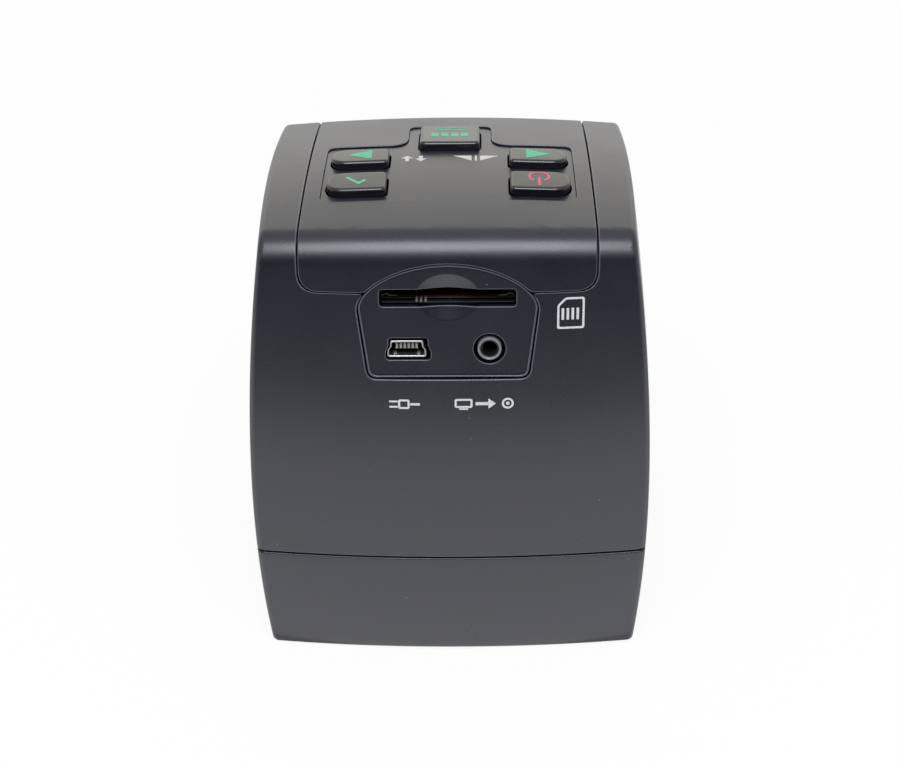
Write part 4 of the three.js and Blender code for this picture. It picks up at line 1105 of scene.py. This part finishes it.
# VIDEO JACK
# A round socket for a 2.5 mm plug: a nylon barrel stands back in its opening, its mouth is eased,
# and a bent contact shows on one side of its bore.
JACK_FRONT = -1.25
BARREL_PROFILE = ((2.42, -10), (2.42, -0.25), (2.34, -0.08), (2.2, 0), (2.06, 0), (1.93, -0.1), (1.87, -0.3),
                  (1.87, -0.6), (1.7, -0.6), (1.7, -10))
BORE_PROFILE = ((1.86, -9.5), (1.86, -0.42), (1.77, -0.35), (1.6, -0.4), (1.55, -0.6), (1.55, -9))


def nylon(name, tone):
    """Moulded nylon. The eye gets a dull dark grey with a soft, slightly waxy gloss."""
    tree, material = blank(name)
    place = add(tree, "TexCoord").outputs["Object"]
    cloud = add(tree, "TexNoise", {"Vector": place, "Scale": 1000 / 0.6, "Detail": 2.0}).outputs["Fac"]
    mixed = add(tree, "Mix", {"Factor": cloud, "A": paint(tone), "B": paint("#59595c")}, data_type="RGBA")
    bump = add(tree, "Bump", {"Height": cloud, "Strength": 0.3, "Distance": 0.00002})
    shader = add(tree, "BsdfPrincipled", {"Base Color": mixed.outputs[2], "Roughness": 0.38,
                                          "Normal": bump.outputs["Normal"], "IOR": 1.53})
    add(tree, "OutputMaterial", {"Surface": shader.outputs[0]})
    return material


def turned(name, profile, closed):
    """A round piece on the jack's axis, from a profile of radii and depths."""
    rings = [port_ring(circle(JACK_X, SOCKET_RISE - 0.12, size), JACK_FRONT + out) for size, out in profile]
    return tube(name, rings, closed)


barrel = turned("video_jack_barrel", BARREL_PROFILE, True)
finish_piece(barrel, nylon("nylon_66", "#87878c"), "inner_black", "body", "video_jack")
finish_piece(turned("video_jack_bore", BORE_PROFILE, False), inner_abs, "inner_black", "body")
blade_x = JACK_X + np.array([1.8, 1.65, 1.35, 1.3, 1.5])
blade_out = JACK_FRONT - np.array([0.6, 0.8, 1.5, 2.2, 3.2])
blade = strip("video_jack_contact", in_port(blade_x, blade_out, SOCKET_RISE), 0.9, 0.14, PORT_UP)
finish_piece(blade, tin, "socket_metal", "body")


# SIGNS ON THE BACK
# Pad printed in white on the wall: a plug, a screen with its plug, and a card with bars for contacts.
SIGN_BAR = 0.42
plug_sign = [bar(5.8, 64.75, 7.8, 65.25), *box_line(8.1, 64.15, 10.0, 65.85, SIGN_BAR, 0.25),
             bar(10.3, 64.2, 12.0, 64.6), bar(10.3, 65.4, 12.0, 65.8)]
screen_sign = [*box_line(-4.6, 64.4, -1.4, 66.0, SIGN_BAR, 0.25), bar(-3.9, 63.75, -2.1, 64.1),
               [(-5.4, 64.75), (-8.0, 64.75), (-8.0, 63.95), (-9.5, 65.1), (-8.0, 66.25), (-8.0, 65.45),
                (-5.4, 65.45)], *ring(-11.9, 65.1, 1.0, SIGN_BAR), circle(-11.9, 65.1, 0.38, 39)]
CARD_CORNERS = [(-27.0, 80.9), (-21.6, 80.9), (-21.6, 85.8), (-23.2, 87.4), (-27.0, 87.4)]


def on_back(xz):
    """Places on the back wall."""
    return on_face(xz, 1)


def drawn_in(corners, size, inset):
    """A polygon with round corners, moved in from its edges by an inset."""
    p = np.asarray(corners, float)
    way = np.roll(p, -1, 0) - p
    way /= np.linalg.norm(way, axis=1, keepdims=True)
    side = np.stack([-way[:, 1], way[:, 0]], -1) * np.sign(turning(p))
    both = side + np.roll(side, 1, 0)
    both /= (both**2).sum(1, keepdims=True) / 2
    return rounded([(x, y, size) for x, y in p + both * inset])


card_sign = [drawn_in(CARD_CORNERS, 0.5, 0), drawn_in(CARD_CORNERS, 0.3, SIGN_BAR)]
card_sign += [bar(-25.9 + 0.98 * i, 82.8, -25.4 + 0.98 * i, 85.2) for i in range(4)]
for sign_name, sign in (("plug_sign", plug_sign), ("screen_sign", screen_sign), ("card_sign", card_sign)):
    printed(sign_name, sign, on_back, body, white_ink, "body")


# FRONT PANEL AND SCREEN
# The leaning front is a third ABS moulding with a large opening, over a flange that closes its seams.
# A sheet of acrylic lies flush in it, printed black on its back round a clear picture area, and the
# small display is close behind it.
WINDOW_MIDDLE = 62.6
WINDOW_SIZE = (58.0, 45.0)
WINDOW_GAP = 0.3
PICTURE = (24.4, 18.3)


def front_box(half_x, low, high, size, form=body):
    """A box with round corners on the front face of a form."""
    return on_face(box_outline(0, (low + high) / 2, 2 * half_x, high - low, size), -1, form)


def window_box(inset, size):
    """The screen's opening on the front face, or a box inside it."""
    wide, tall = WINDOW_SIZE[0] - 2 * inset, WINDOW_SIZE[1] - 2 * inset
    return on_face(box_outline(0, WINDOW_MIDDLE, wide, tall, size), -1)


def behind(p):
    """The pillow drawn in to 0.25 mm behind the inside of its walls."""
    return body(p) + SHELL_WALL + 0.25


def from_front(form):
    """The map of a form seen from the front."""
    return seen_from(form, (1, 0, 0), (0, 0, 1), (0, -1, 0))


front_edge = front_box(FRONT_HALF, SEAM, PANEL_LINE - 0.45, 2)
front_panel = skin("front_frame", body, from_front(body), [front_edge, window_box(0, 2)], 2.0, 0.25)
finish_piece(front_panel, satin_abs, "case_black", "body", "front_panel")
flange_edge = front_box(FRONT_HALF + 1.5, SEAM + 0.5, PANEL_LINE + 1.5, 2, behind)
flange_hole = front_box(30.5, 38.5, 86.5, 2, behind)
flange = skin("front_flange", behind, from_front(behind), [flange_edge, flange_hole], 0.8, 0.1)
finish_piece(flange, satin_abs, "case_black", "body")
tree, acrylic = blank("back_printed_acrylic")
# Acrylic, cast and polished, with black ink behind it. The eye gets a deep gloss black with a faint
# smoked picture area, and a few fine wiping scratches that only show in a reflection.
place = add(tree, "TexCoord").outputs["Object"]
axes = add(tree, "SeparateXYZ", {"Vector": place}).outputs
bounds = []
for axis, middle, half in (("X", 0.0, PICTURE[0]), ("Z", WINDOW_MIDDLE, PICTURE[1])):
    away = add(tree, "Math", {0: axes[axis], 1: middle / 1000}, operation="SUBTRACT")
    away = add(tree, "Math", {0: away.outputs[0]}, operation="ABSOLUTE")
    bounds.append(add(tree, "MapRange", {
        "Value": away.outputs[0], "From Min": (half - 0.1) / 1000, "From Max": (half + 0.1) / 1000,
        "To Min": 1.0, "To Max": 0.0}).outputs["Result"])
picture = add(tree, "Math", {0: bounds[0], 1: bounds[1]}, operation="MULTIPLY")
tone = add(tree, "Mix", {"Factor": picture.outputs[0], "A": paint("#060607"), "B": paint("#1d2126")},
           data_type="RGBA")
wipes = add(tree, "Mapping", {"Vector": place, "Rotation": (0, 0.5, 0), "Scale": (60, 60, 2500)})
wiped = add(tree, "TexNoise", {"Vector": wipes.outputs[0], "Scale": 1.0, "Detail": 3.0})
gloss = add(tree, "MapRange", {"Value": wiped.outputs["Fac"], "From Min": 0.45, "From Max": 0.75,
                               "To Min": 0.05, "To Max": 0.13})
shader = add(tree, "BsdfPrincipled", {"Base Color": tone.outputs[2], "Roughness": gloss.outputs["Result"],
                                      "IOR": 1.49})
add(tree, "OutputMaterial", {"Surface": shader.outputs[0]})
window = skin("screen_sheet", body, from_front(body), [window_box(WINDOW_GAP, 1.7)], 1.4, 0.12)
finish_piece(window, acrylic, "window_black", "body", "screen_window")


# BASE TRAY
# The base is one ABS moulding that goes on the shell's line below the seam. Its flat deck carries the
# film, and is open in the middle for the light. Its walls are drawn as rings round the upright axis.
DECK = 26.675
BASE_WALL = 2.0
FOOT_LINE, FOOT_EASE, DECK_EASE = 0.3, 0.7, 0.3
WINDOW_BOX = (20.0, 14.5, -6.5)


def ring_ways(z, count):
    """Directions round the axis at a height, closer together where the wall turns: equal steps of the
    length along the wall over 2.4 mm plus its turn over 9 degrees."""
    angle = np.linspace(0, 2 * math.pi, 6000, endpoint=False)
    way = np.stack([np.cos(angle), np.sin(angle), 0 * angle], -1)
    p = cast(body, (0, 0, z), way)
    n = facing(body, p)
    length = np.linalg.norm(np.roll(p, -1, 0) - p, axis=1)
    turn = np.degrees(np.arccos(np.clip((n * np.roll(n, -1, 0)).sum(1), -1, 1)))
    run = np.concatenate([[0], np.cumsum(length / 2.4 + turn / 9)])
    at = np.interp(np.linspace(0, run[-1], count, endpoint=False), run, np.append(angle, 2 * math.pi))
    return np.stack([np.cos(at), np.sin(at), 0 * at], -1)


base_ways = ring_ways(20.0, 220)


def wall_ring(z, inset):
    """The wall's outline at a height, moved in along its level normals."""
    p = cast(body, np.array([0, 0, float(z)]), base_ways)
    n = facing(body, p) * (1, 1, 0)
    return p - n / np.linalg.norm(n, axis=1, keepdims=True) * inset


def deck_ring(z, share):
    """A ring part of the way from the wall to the deck's opening, both taken along the same way."""
    outer = wall_ring(z, BASE_WALL)
    half_x, half_y, middle = WINDOW_BOX
    way = base_ways / np.maximum(np.abs(base_ways[:, :1]) / half_x, np.abs(base_ways[:, 1:2]) / half_y)
    inner = way + (0, middle, z)
    return outer * (1 - share) + inner * share


rings = []
for angle in np.radians([0, 20, 45, 70, 90]):
    rise, inset = 1 - math.cos(angle), 1 - math.sin(angle)
    rings.append(wall_ring(FOOT_LINE + FOOT_EASE * rise, FOOT_EASE * inset))
rings += [wall_ring(z, 0) for z in np.linspace(3, DECK - DECK_EASE, 11)]
for angle in np.radians([25, 50, 75, 90]):
    fall, inset = 1 - math.sin(angle), 1 - math.cos(angle)
    rings.append(wall_ring(DECK - DECK_EASE * fall, DECK_EASE * inset))
rings += [deck_ring(DECK, share) for share in (0, 0.5, 0.98, 1)]
rings += [deck_ring(DECK - BASE_WALL, share) for share in (1, 0.98, 0.5, 0)]
rings += [wall_ring(z, BASE_WALL) for z in (DECK - 3, 14, 0.6)] + [wall_ring(FOOT_LINE, 1.8)]
base = tube("base_moulding", rings, closed=True)
finish_piece(base, satin_abs, "case_black", "body", "base_tray")


# PARTS THAT KEEP THEIR SOLID
# Film guide, boards, lens and screws are small turned, stamped or moulded parts whose solids already
# have their shape. Each is copied, its flat faces are made whole, and its edges are eased. The four
# rubber feet are turned from a profile.
def eased_copy(node, size):
    """A copy of a node's solid as one closed mesh: equal points merged, flat faces joined, and each
    edge of more than 30 degrees replaced by a narrow round."""
    low = bmesh.new()
    low.from_mesh(frame["nodes"][node].data)
    bmesh.ops.remove_doubles(low, verts=low.verts, dist=2e-6)
    bmesh.ops.dissolve_limit(low, angle_limit=math.radians(1.0), verts=low.verts, edges=low.edges)
    sharp = [e for e in low.edges if len(e.link_faces) == 2 and e.calc_face_angle(0) > math.radians(30)]
    bmesh.ops.bevel(low, geom=sharp, offset=size / 1000, segments=2, profile=0.5, affect="EDGES",
                    clamp_overlap=True)
    mesh = bpy.data.meshes.new(node + "_eased")
    low.to_mesh(mesh)
    low.free()
    mesh.polygons.foreach_set("use_smooth", np.ones(len(mesh.polygons), bool))
    mesh.set_sharp_from_angle(angle=math.radians(32))
    made = bpy.data.objects.new(node + "_eased", mesh)
    scene.collection.objects.link(made)
    return made


def noise_finish(name, dark, light, grain_mm, roughness, spread, depth_mm, metallic=0.0):
    """A plain industrial finish: two tones and a gloss that follow one grain, with a slight relief."""
    tree, material = blank(name)
    place = add(tree, "TexCoord").outputs["Object"]
    grain = add(tree, "TexNoise", {"Vector": place, "Scale": 1000 / grain_mm, "Detail": 3.0}).outputs["Fac"]
    tone = add(tree, "Mix", {"Factor": grain, "A": paint(dark), "B": paint(light)}, data_type="RGBA")
    gloss = add(tree, "MapRange", {"Value": grain, "To Min": roughness - spread,
                                   "To Max": roughness + spread})
    bump = add(tree, "Bump", {"Height": grain, "Strength": 0.4, "Distance": depth_mm / 1000})
    shader = add(tree, "BsdfPrincipled", {
        "Base Color": tone.outputs[2], "Metallic": metallic, "Roughness": gloss.outputs["Result"],
        "Normal": bump.outputs["Normal"]})
    add(tree, "OutputMaterial", {"Surface": shader.outputs[0]})
    return material


def circuit_board(name):
    """Glass-epoxy board under green solder mask. The eye gets a satin green with slightly raised, paler
    tracks on a grid, and tinned pads here and there."""
    tree, material = blank(name)
    place = add(tree, "TexCoord").outputs["Object"]
    tracks = add(tree, "TexBrick", {
        "Vector": place, "Scale": 1000 / 3.2, "Mortar Size": 0.035, "Color1": paint("#0d2e1d"),
        "Color2": paint("#113824"), "Mortar": paint("#1f5a39")})
    pads = add(tree, "TexVoronoi", {"Vector": place, "Scale": 1000 / 4.0, "Randomness": 0.6})
    pad = add(tree, "MapRange", {"Value": pads.outputs["Distance"], "From Min": 0.12, "From Max": 0.15,
                                 "To Min": 1.0, "To Max": 0.0}).outputs["Result"]
    tone = add(tree, "Mix", {"Factor": pad, "A": tracks.outputs["Color"], "B": paint("#c9c6ba")},
               data_type="RGBA")
    bump = add(tree, "Bump", {"Height": tracks.outputs["Fac"], "Strength": 0.4, "Distance": 0.00004})
    shader = add(tree, "BsdfPrincipled", {"Base Color": tone.outputs[2], "Metallic": pad, "Roughness": 0.38,
                                          "Normal": bump.outputs["Normal"]})
    add(tree, "OutputMaterial", {"Surface": shader.outputs[0]})
    return material


# Each finish's name is the real material. The eye gets from the rubber a matt, slightly dusty black,
# from zinc a cool grey with a fine spangle, from anodising a dark satin metal, from milk plastic a
# soft even white, from the display's frame a grey pressed sheet, and from a chip a fine matt black.
rubber = noise_finish("moulded_rubber", "#161616", "#222221", 0.5, 0.75, 0.08, 0.03)
zinc = noise_finish("zinc_plated_steel", "#8f9193", "#b4b6b8", 0.4, 0.34, 0.08, 0.01, 1.0)
anodised = noise_finish("black_anodised_aluminium", "#17171a", "#26262a", 0.3, 0.4, 0.06, 0.01, 0.6)
milk = noise_finish("milk_polycarbonate", "#dcdcd6", "#efefe9", 4.0, 0.4, 0.05, 0.01)
frame_steel = noise_finish("display_frame_steel", "#77797c", "#8b8d90", 0.5, 0.35, 0.06, 0.01, 1.0)
chip = noise_finish("epoxy_chip", "#101011", "#1c1c1e", 0.15, 0.5, 0.05, 0.01)
board = circuit_board("solder_mask_green")
for nodes, size, finish, slot in (
        (["film_guide", "film_mask", "camera_frame", "lens_holder"], 0.2, inner_abs, "inner_black"),
        (["bottom_cover"], 0.2, satin_abs, "case_black"),
        (["light_box", "diffuser"], 0.15, milk, "light_white"),
        (["display_module"], 0.3, frame_steel, "module_grey"),
        (["lens_barrel"], 0.15, anodised, "inner_black"),
        (["sensor_chip"] + ["switch_" + key_name for key_name in KEYS], 0.12, chip, "inner_black"),
        (["key_board", "main_board", "sensor_board", "light_board"], 0.08, board, "board_green"),
        ([f"base_screw_{i}" for i in (1, 2, 3, 4)], 0.12, zinc, "screw_steel")):
    for node in nodes:
        finish_piece(eased_copy(node, size), finish, slot, "body", node)
for i in (1, 2, 3, 4):
    low, high = (np.array(corner) * 1000 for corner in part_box(f"rubber_foot_{i}"))
    x, y = ((low + high) / 2)[:2]
    profile = ((0.01, 0.0), (4.2, 0.0), (4.75, 0.1), (5.0, 0.35), (5.0, 0.8))
    foot = tube(f"foot_{i}", [at_height(circle(x, y, size), z) for size, z in profile])
    finish_piece(foot, rubber, "foot_rubber", "body", f"rubber_foot_{i}")


# FLOOR, LIGHT AND BACKGROUND
# The scanner stands on a plain white sheet in a soft white studio. A wide soft box behind it is what
# its top mirrors, and a smaller one high in front is what the round of its back edge mirrors. Two
# table cards that only reflections see, and a dark one upright behind them, shade the walls' gloss.
FLOOR_SIZE = 16
PURE_FROM, PURE_TO = 0.2, 0.6


def flat_piece(name, centre, size, turn):
    """A flat card: a square grid of 2 by 2 points scaled to its size, turned about X, and moved."""
    u, v = np.meshgrid([-0.5, 0.5], [-0.5, 0.5])
    y, z = v.ravel() * size[1] * math.cos(turn), v.ravel() * size[1] * math.sin(turn)
    points = np.stack([u.ravel() * size[0], y, z], -1) + centre
    return to_object(name, points * 1000, [(0, 1, 3, 2)])


def plain_rays(tree):
    """Whether a ray comes from the camera, a reflection or through glass."""
    ray = add(tree, "LightPath").outputs
    seen = add(tree, "Math", {0: ray["Is Camera Ray"], 1: ray["Is Glossy Ray"]}, operation="MAXIMUM")
    seen = add(tree, "Math", {0: seen.outputs[0], 1: ray["Is Transmission Ray"]}, operation="MAXIMUM")
    return seen.outputs[0]


tree, white_sheet = blank("white_sheet")
# Matt card under studio light. The eye gets white with a soft shadow, which turns to pure white
# further out, so that no horizon shows.
lit = add(tree, "BsdfDiffuse", {"Color": paint("#f4f4f4"), "Roughness": 0.0})
glow = add(tree, "Emission", {"Color": paint("#ffffff"), "Strength": 1.0})
away = add(tree, "VectorMath", {0: add(tree, "TexCoord").outputs["Object"]}, operation="LENGTH")
whiter = add(tree, "MapRange", {"Value": away.outputs["Value"], "From Min": PURE_FROM, "From Max": PURE_TO,
                                "To Min": 0.9, "To Max": 1.0})
share = add(tree, "Math", {0: plain_rays(tree), 1: whiter.outputs["Result"]}, operation="MULTIPLY")
mixed = add(tree, "MixShader", {"Fac": share.outputs[0], 1: lit.outputs[0], 2: glow.outputs[0]})
add(tree, "OutputMaterial", {"Surface": mixed.outputs[0]})
floor = flat_piece("floor", (0, 0, 0), (FLOOR_SIZE, FLOOR_SIZE), 0)
floor.data.materials.append(white_sheet)


def card(name, centre, size, turn, strength):
    """A card of one grey that only reflections see."""
    tree, material = blank(name)
    tone = add(tree, "Emission", {"Color": paint("#ffffff"), "Strength": strength})
    add(tree, "OutputMaterial", {"Surface": tone.outputs[0]})
    made = flat_piece(name, centre, size, turn)
    made.data.materials.append(material)
    for ray_kind in ("camera", "diffuse", "transmission", "volume_scatter", "shadow"):
        setattr(made, "visible_" + ray_kind, False)


card("horizon_card", (0, 0.42, 0.17), (1.6, 0.34), math.pi / 2, 0.02)
card("far_table_card", (0, 0.3, 0.0005), (1.2, 0.24), 0, 0.46)
card("near_table_card", (0, 0.1105, 0.0002), (0.7, 0.139), 0, 1.72)


def soft_box(name, place, size, aim, power, colour):
    """A rectangular lamp that looks at a point and stays out of the picture."""
    data = bpy.data.lights.new(name, "AREA")
    data.color = paint(colour)[:3]
    data.shape = "RECTANGLE"
    data.size, data.size_y = size
    data.energy = power
    made = bpy.data.objects.new(name, data)
    way = np.asarray(place, float) - aim
    way /= np.linalg.norm(way)
    side = np.cross((0, 0, 1), way)
    side /= np.linalg.norm(side)
    made.matrix_world = stood(side, np.cross(way, side), way, place)
    scene.collection.objects.link(made)
    made.visible_camera = False


soft_box("back_box", (0, -1.72, 0.89), (2.6, 1.3), (0, 0, 0.09), 8, "#fff6e2")
soft_box("strip_box", (0, 0.67, 1.225), (0.95, 0.64), (0, 0.04, 0.09), 17.5, "#f4f7ff")
world = bpy.data.worlds.new("white_studio")
world.use_nodes = True
tree = world.node_tree
tree.nodes.clear()
strength = add(tree, "MapRange", {"Value": plain_rays(tree), "To Min": 0.35, "To Max": 1.0})
sky = add(tree, "Background", {"Color": paint("#ffffff"), "Strength": strength.outputs["Result"]})
add(tree, "OutputWorld", {"Surface": sky.outputs[0]})
scene.world = world
scene.view_settings.view_transform = "Standard"
